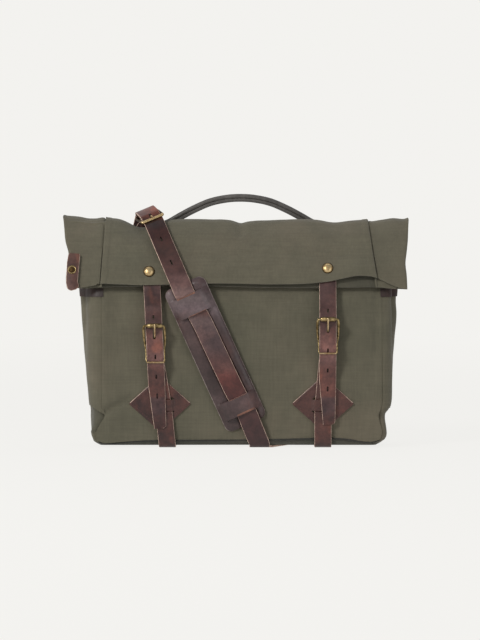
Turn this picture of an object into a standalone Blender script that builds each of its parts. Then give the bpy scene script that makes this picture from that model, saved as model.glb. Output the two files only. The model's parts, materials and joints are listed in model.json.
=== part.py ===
"""Canvas roll-top messenger bag with leather straps, modelled as separate pieces.

Frame: +X to the right, front at -Y, +Z up, origin under the middle of the bag. Metres.
The canvas body is a tube whose flattened top folds forward over the front as the flap.
"""
import math

import bmesh
import bpy
import numpy as np
from mathutils import Vector

# ---------------------------------------------------------------- driving dimensions (metres)
BODY_X = 0.0027                # the filled body sits a little to the right under its flap
BODY_Y = 0.00907               # the body's middle plane, behind the middle of the whole bag
CANVAS = 0.0025                # canvas wall, two plies
LEATHER = 0.0024               # strap leather
THIN_LEATHER = 0.0018
GAP = 0.0003                   # left between pieces that touch
PIPING_RADIUS = 0.0017
BOARD = 0.0024                 # stiffener on the base

FLAP_WIDTH = 0.435             # the tube laid flat
FOLD_Z = 0.287                 # top of the fold
FLAP_EDGE_Z = 0.204            # lower edge of the flap
FLAP_DEPTH = 0.0085            # the folded tube, outer face to inner face
SEAM_X = 0.176                 # side seams of the front and back panels
WING_X = 0.168                 # the same seams where they cross the flap
BASE_SEAM_Z = 0.059            # where the gussets meet the base piece
BASE_Z = 0.003                 # underside of the base, held up by the straps under it
PANEL_FOOT_Z = 0.0095          # lower edge of the front and back panels
NECK_Z = 0.280                 # top of the front panel, inside the fold

STRAP_WIDTH = 0.020            # closure straps
SHOULDER_WIDTH = 0.025
SHOULDER_SLOPE = 0.4553        # sideways run of the shoulder strap for each metre of height
PAD_WIDTH = 0.054
PAD_LENGTH = 0.194
PAD_THICKNESS = 0.0050

BUCKLE_HALF = 0.0132           # middle of a closure buckle's side wire
BUCKLE_WIRE = 0.0015
BAR_WIRE = 0.0014
ROLLER_RADIUS = 0.00275
CAP_RADIUS = 0.0064            # rivet caps

# side view of the bag: height, depth in front of and behind the middle plane
FRONT_DEPTH = [(0.003, 0.0470), (0.012, 0.0485), (0.030, 0.0495), (0.060, 0.0498),
               (0.120, 0.0495), (0.170, 0.0446), (0.205, 0.0366), (0.240, 0.0246),
               (0.262, 0.0125), (0.272, 0.0078), (0.287, 0.0075)]
BACK_DEPTH = [(0.003, 0.0470), (0.012, 0.0485), (0.030, 0.0495), (0.060, 0.0498),
              (0.120, 0.0492), (0.170, 0.0450), (0.205, 0.0378), (0.240, 0.0250),
              (0.262, 0.0105), (0.272, 0.0045), (0.287, 0.0030)]
# front view: height, half width over the gussets
HALF_WIDTH = [(0.003, 0.1750), (0.008, 0.1810), (0.030, 0.1855), (0.059, 0.1898), (0.120, 0.1945),
              (0.185, 0.1990), (0.215, 0.2035), (0.245, 0.2090), (0.268, 0.2138), (0.287, 0.2145)]
# outer face of the flap: depth in front of the fold's top line, height
FLAP_FACE = [(0.0003, 0.2870), (0.0060, 0.2858), (0.0120, 0.2822), (0.0220, 0.2700),
             (0.0380, 0.2400), (0.0460, 0.2220), (0.0520, 0.2040)]

DIP = 0.009                    # how far the shoulder strap presses the fold down
DIP_X = -0.112
DIP_WIDTH = 0.022

LEFT, RIGHT = 0, 1
SIDES = ("left", "right")
RIVET_AT = ((-0.1085, 0.220), (0.1145, 0.224))                     # x, z on the flap
CLOSURE_X = (((-0.1055, 0.235), (-0.1010, 0.130), (-0.0965, 0.024)),  # x, z down each closure strap
             ((0.1145, 0.235), (0.1145, 0.138), (0.1140, 0.029)))
LOWER_X = (((-0.1010, 0.130), (-0.0994, 0.104), (-0.0905, 0.050), (-0.0855, 0.0)),
           ((0.1145, 0.138), (0.1142, 0.112), (0.1085, 0.050), (0.1085, 0.0)))
BUCKLE_BAR_Z = (0.130, 0.138)
BUCKLE_TOP = 0.0228            # roller above the hidden bar
BUCKLE_FOOT = -0.0228          # keeper bar below it
PRONG_HOLE = 0.0088            # prong hole above the hidden bar
DIAMOND_X = (-0.0950, 0.1085)
DIAMOND_Z = 0.055
DIAMOND_HALF_X = 0.039
DIAMOND_HALF_Z = 0.0345
HOLE_PITCH = 0.0245
HIGHEST_HOLE_Z = 0.190

# depth in front of the middle plane of the layers on the front
PATCH_DEPTH = 0.0513
UNDER_BRIDGE_DEPTH = 0.0515
BRIDGE_DEPTH = 0.0540
OVER_PATCH_DEPTH = 0.0538
BUCKLE_BAR_DEPTH = 0.0569
BILLET_DEPTH = 0.0625
TAIL_DEPTH = 0.0567
ROLLER_DEPTH = 0.06675
KEEPER_DEPTH = 0.06535

HANDLE_X = 0.0055
HANDLE_SPAN = 0.099            # ring to middle
HANDLE_BAR_Z = 0.257
HANDLE_BAR_DEPTH = 0.0188      # behind the middle plane
HANDLE_TOP_Z = 0.3115          # middle of the grip at its crown
RING_HALF_X = 0.0106
RING_HEIGHT = 0.013
GRIP_RADIUS = 0.0050
RING_WIRE = 0.0014


# ---------------------------------------------------------------- materials
def material(name, colour, roughness, metallic=0.0):
    mat = bpy.data.materials.new(name)
    mat.use_nodes = True
    shader = mat.node_tree.nodes["Principled BSDF"]
    shader.inputs["Base Color"].default_value = (*colour, 1.0)
    shader.inputs["Roughness"].default_value = roughness
    shader.inputs["Metallic"].default_value = metallic
    return mat


# ---------------------------------------------------------------- shape helpers
def table(stations, value):
    """Reads a curve given by a few stations, without kinks between them."""
    xs = [s[0] for s in stations]
    ys = [s[1] for s in stations]
    fine = route(list(zip(xs, ys)), 8)
    return float(np.interp(value, fine[:, 0], fine[:, 1]))


def route(points, per_span=6, closed=False):
    """A smooth curve through points, with per_span steps between neighbours."""
    pts = np.array(points, float)
    n = len(pts)
    if closed:
        pts = np.vstack([pts[-1], pts, pts[:2]])
        spans = n
    else:
        pts = np.vstack([2 * pts[0] - pts[1], pts, 2 * pts[-1] - pts[-2]])
        spans = n - 1
    out = []
    for i in range(spans):
        a, b, c, d = pts[i:i + 4]
        for t in np.linspace(0, 1, per_span, endpoint=False):
            out.append(0.5 * (2 * b + (c - a) * t + (2 * a - 5 * b + 4 * c - d) * t * t
                              + (3 * b - a - 3 * c + d) * t ** 3))
    if not closed:
        out.append(pts[-2])
    return np.array(out)


def front_y(z):
    return BODY_Y - table(FRONT_DEPTH, z)


def back_y(z):
    return BODY_Y + table(BACK_DEPTH, z)


def at_depth(depth):
    return BODY_Y - depth


def pressed(grid):
    """Lowers the fold where the shoulder strap lies over it."""
    grid = np.array(grid, float)
    rise = np.clip((grid[..., 2] - 0.252) / (FOLD_Z - 0.252), 0, 1)
    grid[..., 2] -= DIP * np.exp(-((grid[..., 0] - DIP_X) / DIP_WIDTH) ** 2) * rise * rise * (3 - 2 * rise)
    return grid


def panel_columns(half, middle=0.0):
    """Columns across a panel, closer together at the dip in the fold."""
    near_dip = DIP_X + np.array([-1.75, -0.95, -0.45, 0.0, 0.45, 0.95, 1.75]) * DIP_WIDTH
    return np.concatenate([[middle - half], near_dip, [0.0, 0.09, middle + half]])


def add(name, verts, faces, mat, pivot=(0, 0, 0)):
    """A closed mesh as a named object with its origin at pivot."""
    mesh = bpy.data.meshes.new(name)
    pivot = Vector(pivot)
    mesh.from_pydata([Vector(v) - pivot for v in verts], [], faces)
    bm = bmesh.new()
    bm.from_mesh(mesh)
    bmesh.ops.recalc_face_normals(bm, faces=bm.faces)
    bm.to_mesh(mesh)
    bm.free()
    mesh.materials.append(mat)
    obj = bpy.data.objects.new(name, mesh)
    obj.location = pivot
    bpy.context.collection.objects.link(obj)
    return obj


def smooth(obj, angle=40):
    obj.data.shade_smooth()
    obj.data.set_sharp_from_angle(angle=math.radians(angle))
    return obj


def shell(name, outer, inner, mat, pivot=(0, 0, 0)):
    """A wall between two grids of points of the same size."""
    rows, cols = outer.shape[:2]
    verts = [tuple(p) for p in outer.reshape(-1, 3)] + [tuple(p) for p in inner.reshape(-1, 3)]
    far = rows * cols
    faces = []
    for r in range(rows - 1):
        for c in range(cols - 1):
            a = r * cols + c
            quad = (a, a + 1, a + cols + 1, a + cols)
            faces.append(quad)
            faces.append(tuple(far + i for i in reversed(quad)))
    rim = [c for c in range(cols)]
    rim += [r * cols + cols - 1 for r in range(1, rows)]
    rim += [(rows - 1) * cols + c for c in range(cols - 2, -1, -1)]
    rim += [r * cols for r in range(rows - 2, 0, -1)]
    for i, a in enumerate(rim):
        b = rim[(i + 1) % len(rim)]
        faces.append((a, b, far + b, far + a))
    return add(name, verts, faces, mat, pivot)


def frames(path, across=(1, 0, 0), closed=False, level=0.0):
    """Unit tangents, sides and normals along a path.

    A side is as near to across as a square-cut strap allows; level 1 keeps it on across.
    """
    if closed:
        tangents = np.roll(path, -1, axis=0) - np.roll(path, 1, axis=0)
    else:
        tangents = np.gradient(path, axis=0)
    tangents /= np.linalg.norm(tangents, axis=1)[:, None]
    across = np.broadcast_to(np.asarray(across, float), path.shape)
    lean = (tangents * across).sum(1)
    sides = across - ((1 - np.asarray(level)) * lean)[:, None] * tangents
    sides /= np.linalg.norm(sides, axis=1)[:, None]
    normals = np.cross(tangents, sides)
    square = np.linalg.norm(normals, axis=1)[:, None]
    return tangents, sides / square, normals / square


def strap(name, path, width, thickness, mat, pivot=(0, 0, 0), across=(1, 0, 0), level=0.0):
    """A flat strap along a path; width is a number or one number for each point."""
    path = np.asarray(path, float)
    _, sides, normals = frames(path, across, level=level)
    half = np.broadcast_to(np.asarray(width, float) / 2, (len(path),))[:, None]
    rise = normals * thickness / 2
    corners = [path + sides * half + rise, path - sides * half + rise,
               path - sides * half - rise, path + sides * half - rise]
    verts = np.stack(corners, 1).reshape(-1, 3)
    verts[:, 2] = np.maximum(verts[:, 2], 0.0)       # a strap under the bag lies flat on the ground
    faces = [(0, 1, 2, 3)]
    for i in range(len(path) - 1):
        for k in range(4):
            a, b = 4 * i + k, 4 * i + (k + 1) % 4
            faces.append((a, b, b + 4, a + 4))
    last = 4 * (len(path) - 1)
    faces.append((last, last + 1, last + 2, last + 3))
    return add(name, [tuple(v) for v in verts], faces, mat, pivot)


def tube(name, path, radius, mat, pivot=(0, 0, 0), across=(1, 0, 0), closed=False, around=8,
         flat=1.0):
    """A round wire along a path; flat stretches it along its normals."""
    path = np.asarray(path, float)
    _, sides, normals = frames(path, across, closed)
    angles = np.linspace(0, 2 * math.pi, around, endpoint=False)
    rings = [path + radius * (math.cos(a) * sides + flat * math.sin(a) * normals) for a in angles]
    verts = np.stack(rings, 1).reshape(-1, 3)
    n = len(path)
    faces = []
    for i in range(n if closed else n - 1):
        j = (i + 1) % n
        for k in range(around):
            m = (k + 1) % around
            faces.append((around * i + k, around * i + m, around * j + m, around * j + k))
    if not closed:
        faces.append(tuple(range(around)))
        faces.append(tuple(around * (n - 1) + k for k in range(around)))
    return smooth(add(name, [tuple(v) for v in verts], faces, mat, pivot), 60)


def turned(name, profile, at, axis, mat, pivot=(0, 0, 0), around=16):
    """A turned piece: (radius, height) pairs, from one pole to the other, along axis."""
    axis = Vector(axis).normalized()
    across = axis.orthogonal().normalized()
    other = axis.cross(across)
    verts = [tuple(Vector(at) + axis * profile[0][1])]
    for radius, height in profile[1:-1]:
        for a in np.linspace(0, 2 * math.pi, around, endpoint=False):
            out = across * math.cos(a) + other * math.sin(a)
            verts.append(tuple(Vector(at) + axis * height + out * radius))
    verts.append(tuple(Vector(at) + axis * profile[-1][1]))
    last = len(verts) - 1
    rings = len(profile) - 2
    faces = []
    for k in range(around):
        m = (k + 1) % around
        faces.append((0, 1 + m, 1 + k))
        for r in range(rings - 1):
            a = 1 + r * around
            faces.append((a + k, a + m, a + around + m, a + around + k))
        a = 1 + (rings - 1) * around
        faces.append((a + k, a + m, last))
    return smooth(add(name, verts, faces, mat, pivot), 50)


def box(name, low, high, mat):
    x, y, z = zip(low, high)
    verts = [(x[i], y[j], z[k]) for i in (0, 1) for j in (0, 1) for k in (0, 1)]
    faces = [(0, 1, 3, 2), (4, 6, 7, 5), (0, 4, 5, 1), (2, 3, 7, 6), (0, 2, 6, 4), (1, 5, 7, 3)]
    return add(name, verts, faces, mat)


def hide(tool):
    tool.hide_render = True
    tool.display_type = "WIRE"
    return tool


def combine(obj, tool, operation, solver="EXACT"):
    """Cuts a tool out of an object, or joins it on."""
    hide(tool)
    mod = obj.modifiers.new(tool.name, "BOOLEAN")
    mod.solver = solver
    mod.operation = operation
    mod.object = tool


def unit(v):
    v = np.array(v, float)
    return v / np.linalg.norm(v)


# ---------------------------------------------------------------- canvas body
def body_panel(name, skin_y, inward, top, canvas):
    """A front or back panel: a flat-across wall that follows the bag's side view."""
    heights = np.concatenate([[PANEL_FOOT_Z, 0.02], np.linspace(0.045, 0.250, 6),
                              [0.262, 0.267, 0.272], [top]])
    skin = np.array([(skin_y(z), z) for z in heights])
    slope = np.gradient(skin, axis=0)
    slope /= np.linalg.norm(slope, axis=1)[:, None]
    lining = skin + CANVAS * np.stack([slope[:, 1] * inward, -slope[:, 0] * inward], 1)
    lining[:, 1] = np.clip(lining[:, 1], PANEL_FOOT_Z, top)
    across = panel_columns(SEAM_X, BODY_X)
    outer = pressed([[(x, y, z) for x in across] for y, z in skin])
    inner = pressed([[(x, y, z) for x in across] for y, z in lining])
    return smooth(shell(name, outer, inner, canvas))


def back_cap(canvas):
    """The back panel, whose top turns forward to the fold's top line."""
    heights = np.concatenate([[PANEL_FOOT_Z, 0.02], np.linspace(0.045, 0.250, 6), [0.262, 0.267, 0.272]])
    skin = [(back_y(z), z) for z in heights]
    lining = [(back_y(z) - CANVAS, z - 0.0006 * (z > 0.2)) for z in heights]
    lining[0] = (lining[0][0], PANEL_FOOT_Z)
    top_y = BODY_Y + GAP
    skin += [(BODY_Y + 0.0032, 0.2795), (BODY_Y + 0.0027, 0.2845), (BODY_Y + 0.0016, 0.2864), (top_y, FOLD_Z)]
    lining += [(BODY_Y + 0.0007, 0.2790), (BODY_Y + 0.0005, 0.2822), (BODY_Y + 0.0004, 0.2835), (top_y, 0.2845)]
    across = panel_columns(SEAM_X, BODY_X)
    outer = pressed([[(x, y, z) for x in across] for y, z in skin])
    inner = pressed([[(x, y, z) for x in across] for y, z in lining])
    return smooth(shell("back_panel", outer, inner, canvas))


def gusset_plan(z, inset):
    """Plan of a gusset at one height, from the front seam round to the back seam."""
    front = front_y(z) + inset
    back = back_y(z) - inset
    side = table(HALF_WIDTH, z) - inset
    seam = SEAM_X + GAP
    radius = min(side - seam, (back - front) / 2)
    points = [(seam, front)]
    for a in np.linspace(0, math.pi / 2, 5):
        points.append((side - radius + radius * math.sin(a), front + radius - radius * math.cos(a)))
    for a in np.linspace(math.pi / 2, 0, 5):
        points.append((side - radius + radius * math.sin(a), back - radius + radius * math.cos(a)))
    points.append((seam, back))
    return points


def gusset(side, canvas):
    """A side wall, open into the bag; its top is folded flat into the neck."""
    sign = -1 if side == LEFT else 1
    cols = len(gusset_plan(0.1, 0))
    behind_fold = [y - BODY_Y for _, y in gusset_plan(NECK_Z, 0)]
    tops = np.interp(behind_fold, [0.0010, 0.0028], [NECK_Z, FOLD_Z - 0.0015])   # higher behind the fold
    steps = np.array([0, 0.2, 0.4, 0.56, 0.70, 0.82, 0.92, 0.96, 1.0])
    outer, inner = [], []
    for s in steps:
        row_out, row_in = [], []
        for c in range(cols):
            z = BASE_SEAM_Z + GAP + s * (tops[c] - BASE_SEAM_Z - GAP)
            x, y = gusset_plan(z, 0)[c]
            row_out.append((BODY_X + sign * x, y, z))
            x, y = gusset_plan(z, CANVAS)[c]
            row_in.append((BODY_X + sign * x, y, z))
        outer.append(row_out)
        inner.append(row_in)
    return smooth(shell(f"{SIDES[side]}_gusset", np.array(outer), np.array(inner), canvas))


def base_panel(canvas):
    """The base: one piece under the bag that turns up both sides to the base seams."""
    def ring(inset):
        rows = []
        cols = len(gusset_plan(0.1, 0))
        heights = (BASE_SEAM_Z, 0.042, 0.026, 0.014, 0.0085)
        for z in heights:
            rows.append([(BODY_X - x, y, z) for x, y in gusset_plan(z, inset)])
        floor = BASE_Z + inset
        edge = 0.0466 - inset
        for x, lift in ((-0.1725, 0.0012), (-0.164, 0), (-0.060, 0), (0.060, 0), (0.164, 0), (0.1725, 0.0012)):
            ys = np.linspace(BODY_Y - edge, BODY_Y + edge, cols)
            rows.append([(BODY_X + x, y, floor + lift) for y in ys])
        for z in reversed(heights):
            rows.append([(BODY_X + x, y, z) for x, y in gusset_plan(z, inset)])
        return np.array(rows)
    return smooth(shell("base_panel", ring(0.0), ring(CANVAS), canvas))


def base_piping(name, skin_y, inward, piping):
    y = skin_y(0.0075) + inward * 0.0012
    half = SEAM_X - 0.003
    line = [(BODY_X + x, y, 0.0073) for x in np.linspace(-half, half, 5)]
    return tube(name, line, PIPING_RADIUS, piping, across=(0, 0, 1))


def base_board(board):
    """The stiffener that lies on the base inside."""
    half_x, half_y, radius = 0.160, 0.0405, 0.012
    ring = []
    for cx, cy, start in ((1, 1, 0), (-1, 1, 90), (-1, -1, 180), (1, -1, 270)):
        for a in np.linspace(start, start + 90, 5):
            ring.append((BODY_X + cx * (half_x - radius) + radius * math.cos(math.radians(a)),
                         BODY_Y + cy * (half_y - radius) + radius * math.sin(math.radians(a))))
    low = BASE_Z + CANVAS + GAP
    verts = [(x, y, low) for x, y in ring] + [(x, y, low + BOARD) for x, y in ring]
    n = len(ring)
    faces = [tuple(range(n)), tuple(range(n, 2 * n))]
    faces += [(i, (i + 1) % n, n + (i + 1) % n, n + i) for i in range(n)]
    return add("base_board", verts, faces, board)


# ---------------------------------------------------------------- flap
def flap_section(steps=12):
    """Outer face of the flap in side view, with its outward normals."""
    line = route([(-d, z) for d, z in FLAP_FACE], 4)
    keep = np.linspace(0, len(line) - 1, steps).round().astype(int)
    line = line[keep]
    along = np.gradient(line, axis=0)
    along /= np.linalg.norm(along, axis=1)[:, None]
    normals = np.stack([along[:, 1], -along[:, 0]], 1)
    line[:, 0] += BODY_Y
    return line, normals


def flap_point(line, normals, place, depth):
    """A point depth under the flap's outer face, at a place along its side view."""
    i = np.arange(len(line))
    y, z = (np.interp(place, i, line[:, k]) for k in (0, 1))
    n = unit([np.interp(place, i, normals[:, k]) for k in (0, 1)])
    return y - n[0] * depth, z - n[1] * depth


def flap_inner_start(line):
    """Place along the side view where the inner layer comes out of the fold."""
    return float(np.interp(-0.271, -line[:, 1], np.arange(len(line))))


def flap_outer_panel(canvas, pivot):
    line, normals = flap_section()
    across = panel_columns(WING_X - GAP)
    places = np.arange(len(line))
    outer = pressed([[(x, *flap_point(line, normals, p, 0)) for x in across] for p in places])
    inner = pressed([[(x, *flap_point(line, normals, p, CANVAS)) for x in across] for p in places])
    inner[0, :, 1] = BODY_Y - GAP
    return smooth(shell("flap_outer_panel", outer, inner, canvas, pivot))


def flap_inner_layer(canvas, pivot):
    line, normals = flap_section()
    across = panel_columns(WING_X - GAP)
    places = np.linspace(flap_inner_start(line), len(line) - 1.4, 8)
    outer = pressed([[(x, *flap_point(line, normals, p, FLAP_DEPTH - CANVAS)) for x in across]
                     for p in places])
    inner = pressed([[(x, *flap_point(line, normals, p, FLAP_DEPTH)) for x in across] for p in places])
    return smooth(shell("flap_inner_layer", outer, inner, canvas, pivot))


def flap_wing(side, canvas, pivot):
    """The end of the folded tube: outer face, round its side and back to the seam inside."""
    sign = -1 if side == LEFT else 1
    line, normals = flap_section()
    half = FLAP_DEPTH / 2
    centre_x = FLAP_WIDTH / 2 - half

    def section(inset):
        reach = half - inset
        points = [(WING_X, inset), ((WING_X + centre_x) / 2, inset)]
        points += [(centre_x + reach * math.sin(a), half - reach * math.cos(a))
                   for a in np.linspace(0, math.pi, 7)]
        return points + [((WING_X + centre_x) / 2, FLAP_DEPTH - inset), (WING_X, FLAP_DEPTH - inset)]

    start = flap_inner_start(line)
    starts = [0, 0, 0, 0, 0.3 * start, 0.6 * start, 0.85 * start, start, start, start, start]
    outer, inner = [], []
    for s in np.linspace(0, 1, 10):
        places = [a + s * (len(line) - 1 - a) for a in starts]
        outer.append([(sign * x, *flap_point(line, normals, p, d)) for p, (x, d) in zip(places, section(0))])
        inner.append([(sign * x, *flap_point(line, normals, p, d))
                      for p, (x, d) in zip(places, section(CANVAS))])
    outer, inner = np.array(outer), np.array(inner)
    inner[0, :3, 1] = np.minimum(inner[0, :3, 1], BODY_Y - GAP)
    return smooth(shell(f"flap_{SIDES[side]}_wing", outer, inner, canvas, pivot))


def flap_face_at(z):
    """Place and outward direction on the flap's outer face at a height."""
    line, normals = flap_section()
    y = np.interp(-z, -line[:, 1], line[:, 0])
    n = unit([np.interp(-z, -line[:, 1], normals[:, k]) for k in (0, 1)])
    return y, np.array([0.0, n[0], n[1]])


def rivet_cap(name, at, axis, brass, pivot=(0, 0, 0), radius=CAP_RADIUS, height=0.0028):
    profile = [(0, 0), (radius * 0.96, 0), (radius, height * 0.18), (radius * 0.93, height * 0.5),
               (radius * 0.72, height * 0.8), (radius * 0.4, height * 0.96), (0, height)]
    return turned(name, profile, at, axis, brass, pivot)


def side_tab(leather, brass, pivot):
    """The leather tab and ring rivet at the flap's left lower corner."""
    heights = np.linspace(0.241, 0.1965, 8)
    path = []
    for z in heights:
        y, n = flap_face_at(max(z, 0.206))
        below = max(0.206 - z, 0)
        path.append(np.array([-0.2025, y - 0.34 * below, z]) + n * (2 * GAP + THIN_LEATHER / 2))
    width = np.array([0.0130, 0.0150, 0.0150, 0.0150, 0.0150, 0.0150, 0.0140, 0.0110])
    strap("side_tab", path, width, THIN_LEATHER, leather, pivot)
    y, n = flap_face_at(0.221)
    at = np.array([-0.2045, y, 0.221]) + n * (3 * GAP + THIN_LEATHER)
    profile = [(0, 0), (0.0054, 0), (0.0056, 0.0006), (0.0048, 0.0014), (0.0034, 0.0009),
               (0.0018, 0.0009), (0, 0.0009)]
    turned("side_tab_rivet", profile, at, n, brass, pivot)


# ---------------------------------------------------------------- closure straps and buckles
def x_along(stations, z):
    return float(np.interp(-z, [-s[1] for s in stations], [s[0] for s in stations]))


def closure_strap(side, leather, pivot):
    """A strap from inside the flap's mouth, through the buckle, with its tapered tail."""
    bar = BUCKLE_BAR_Z[side]
    stations = CLOSURE_X[side]
    line, normals = flap_section()
    depth = CANVAS + 0.0018
    points = []
    for z in (0.232, 0.220, 0.208):
        place = float(np.interp(-z, -line[:, 1], np.arange(len(line))))
        y, height = flap_point(line, normals, place, depth)
        points.append((y, height))
    points += [(at_depth(0.0495), 0.196), (at_depth(0.0535), bar + 0.044), (at_depth(0.0595), bar + 0.031),
               (at_depth(BILLET_DEPTH), bar + 0.021), (at_depth(BILLET_DEPTH), bar),
               (at_depth(BILLET_DEPTH), bar - 0.026), (at_depth(0.0600), bar - 0.036),
               (at_depth(TAIL_DEPTH + 0.0003), bar - 0.047), (at_depth(TAIL_DEPTH), 0.070),
               (at_depth(TAIL_DEPTH), 0.050), (at_depth(TAIL_DEPTH), stations[-1][1])]
    line = route(points, 3)
    path = [(x_along(stations, z), y, z) for y, z in line]
    tip = stations[-1][1]
    width = [STRAP_WIDTH * np.interp(z - tip, [0, 0.003, 0.012, 0.05], [0.50, 0.64, 0.72, 1.0]) for _, z in line]
    piece = strap(f"{SIDES[side]}_closure_strap", path, width, LEATHER, leather, pivot)
    for number in range(4):
        z = bar + PRONG_HOLE - 0.0005 + (2 - number) * HOLE_PITCH
        if z > HIGHEST_HOLE_Z:
            continue
        x = x_along(stations, z)
        tall = 0.0042 if number == 2 else 0.0036
        y = float(np.interp(-z, -line[:, 1], line[:, 0]))
        cutter = box(f"{SIDES[side]}_strap_hole_{number}", (x - 0.0014, y - 0.004, z - tall),
                     (x + 0.0014, y + 0.004, z + tall), leather)
        combine(piece, cutter, "DIFFERENCE")
    return piece


def lower_strap(side, leather):
    """A strap from the back, under the base, through the patch and round the buckle's bar."""
    bar = BUCKLE_BAR_Z[side]
    stations = LOWER_X[side]
    bar_y = at_depth(BUCKLE_BAR_DEPTH)
    under = LEATHER / 2
    back = [(at_depth(-0.0500), 0.0068), (at_depth(-0.0486), 0.0030), (at_depth(-0.0450), under),
            (at_depth(-0.040), under), (at_depth(-0.020), under)]
    front = [(at_depth(0.020), under), (at_depth(0.040), under), (at_depth(0.0450), under),
             (at_depth(0.0490), 0.0024), (at_depth(0.0515), 0.0056), (at_depth(0.0530), 0.0110),
             (at_depth(OVER_PATCH_DEPTH), 0.020), (at_depth(OVER_PATCH_DEPTH), 0.034),
             (at_depth(OVER_PATCH_DEPTH), 0.0425), (at_depth(UNDER_BRIDGE_DEPTH), 0.0485),
             (at_depth(UNDER_BRIDGE_DEPTH), 0.0575), (at_depth(OVER_PATCH_DEPTH), 0.0637),
             (at_depth(OVER_PATCH_DEPTH), 0.074), (at_depth(OVER_PATCH_DEPTH), 0.095),
             (at_depth(0.0539), bar - 0.012)]
    turn = BAR_WIRE + GAP + LEATHER / 2
    loop = [(bar_y - turn * math.cos(math.radians(a)), bar + turn * math.sin(math.radians(a)))
            for a in (180, 155, 130, 105, 80, 55, 30, 0)]
    free_end = [(bar_y - turn + 0.0002, bar - 0.008), (bar_y - 0.0012, bar - 0.016), (bar_y + 0.0002, bar - 0.022)]
    line = np.vstack([route(back, 2), route(front, 2), loop, free_end])
    path = [(x_along(stations, z) if y < BODY_Y else stations[-1][0], y, z) for y, z in line]
    width = [STRAP_WIDTH - 0.0014 * (z > bar - 0.026) for _, z in line]
    piece = strap(f"{SIDES[side]}_lower_strap", path, width, LEATHER, leather)
    x = x_along(stations, bar)
    slot = box(f"{SIDES[side]}_prong_slot", (x - 0.0019, bar_y - 0.0060, bar - 0.0058),
               (x + 0.0019, bar_y + 0.0062, bar + 0.0060), leather)
    combine(piece, slot, "DIFFERENCE")
    return piece


def diamond_patch(side, leather):
    """A square patch set on its corner; the lower strap runs behind the bridge between its slits."""
    cx = DIAMOND_X[side]
    low, high = at_depth(PATCH_DEPTH + 0.001), at_depth(PATCH_DEPTH - 0.001)
    corners = [(cx - DIAMOND_HALF_X, DIAMOND_Z), (cx, DIAMOND_Z - DIAMOND_HALF_Z),
               (cx + DIAMOND_HALF_X, DIAMOND_Z), (cx, DIAMOND_Z + DIAMOND_HALF_Z)]
    verts = [(x, low, z) for x, z in corners] + [(x, high, z) for x, z in corners]
    faces = [(0, 1, 2, 3), (4, 5, 6, 7)] + [(i, (i + 1) % 4, 4 + (i + 1) % 4, 4 + i) for i in range(4)]
    patch = add(f"{SIDES[side]}_diamond_patch", verts, faces, leather)
    strap_x = x_along(LOWER_X[side], 0.053)
    window = box(f"{SIDES[side]}_patch_window", (strap_x - 0.0135, low - 0.01, 0.0428),
                 (strap_x + 0.0135, high + 0.01, 0.0640), leather)
    combine(patch, window, "DIFFERENCE")
    flat, proud = at_depth(PATCH_DEPTH), at_depth(BRIDGE_DEPTH)
    path = [(strap_x + x, y, 0.053) for x, y in
            ((-0.0185, flat), (-0.0150, flat), (-0.0122, proud + 0.0006), (-0.0105, proud), (0.0, proud - 0.0001),
             (0.0105, proud), (0.0122, proud + 0.0006), (0.0150, flat), (0.0185, flat))]
    bridge = strap(f"{SIDES[side]}_patch_bridge", path, 0.0085, 0.0019, leather, across=(0, 0, 1))
    combine(patch, bridge, "UNION")
    return patch


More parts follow.
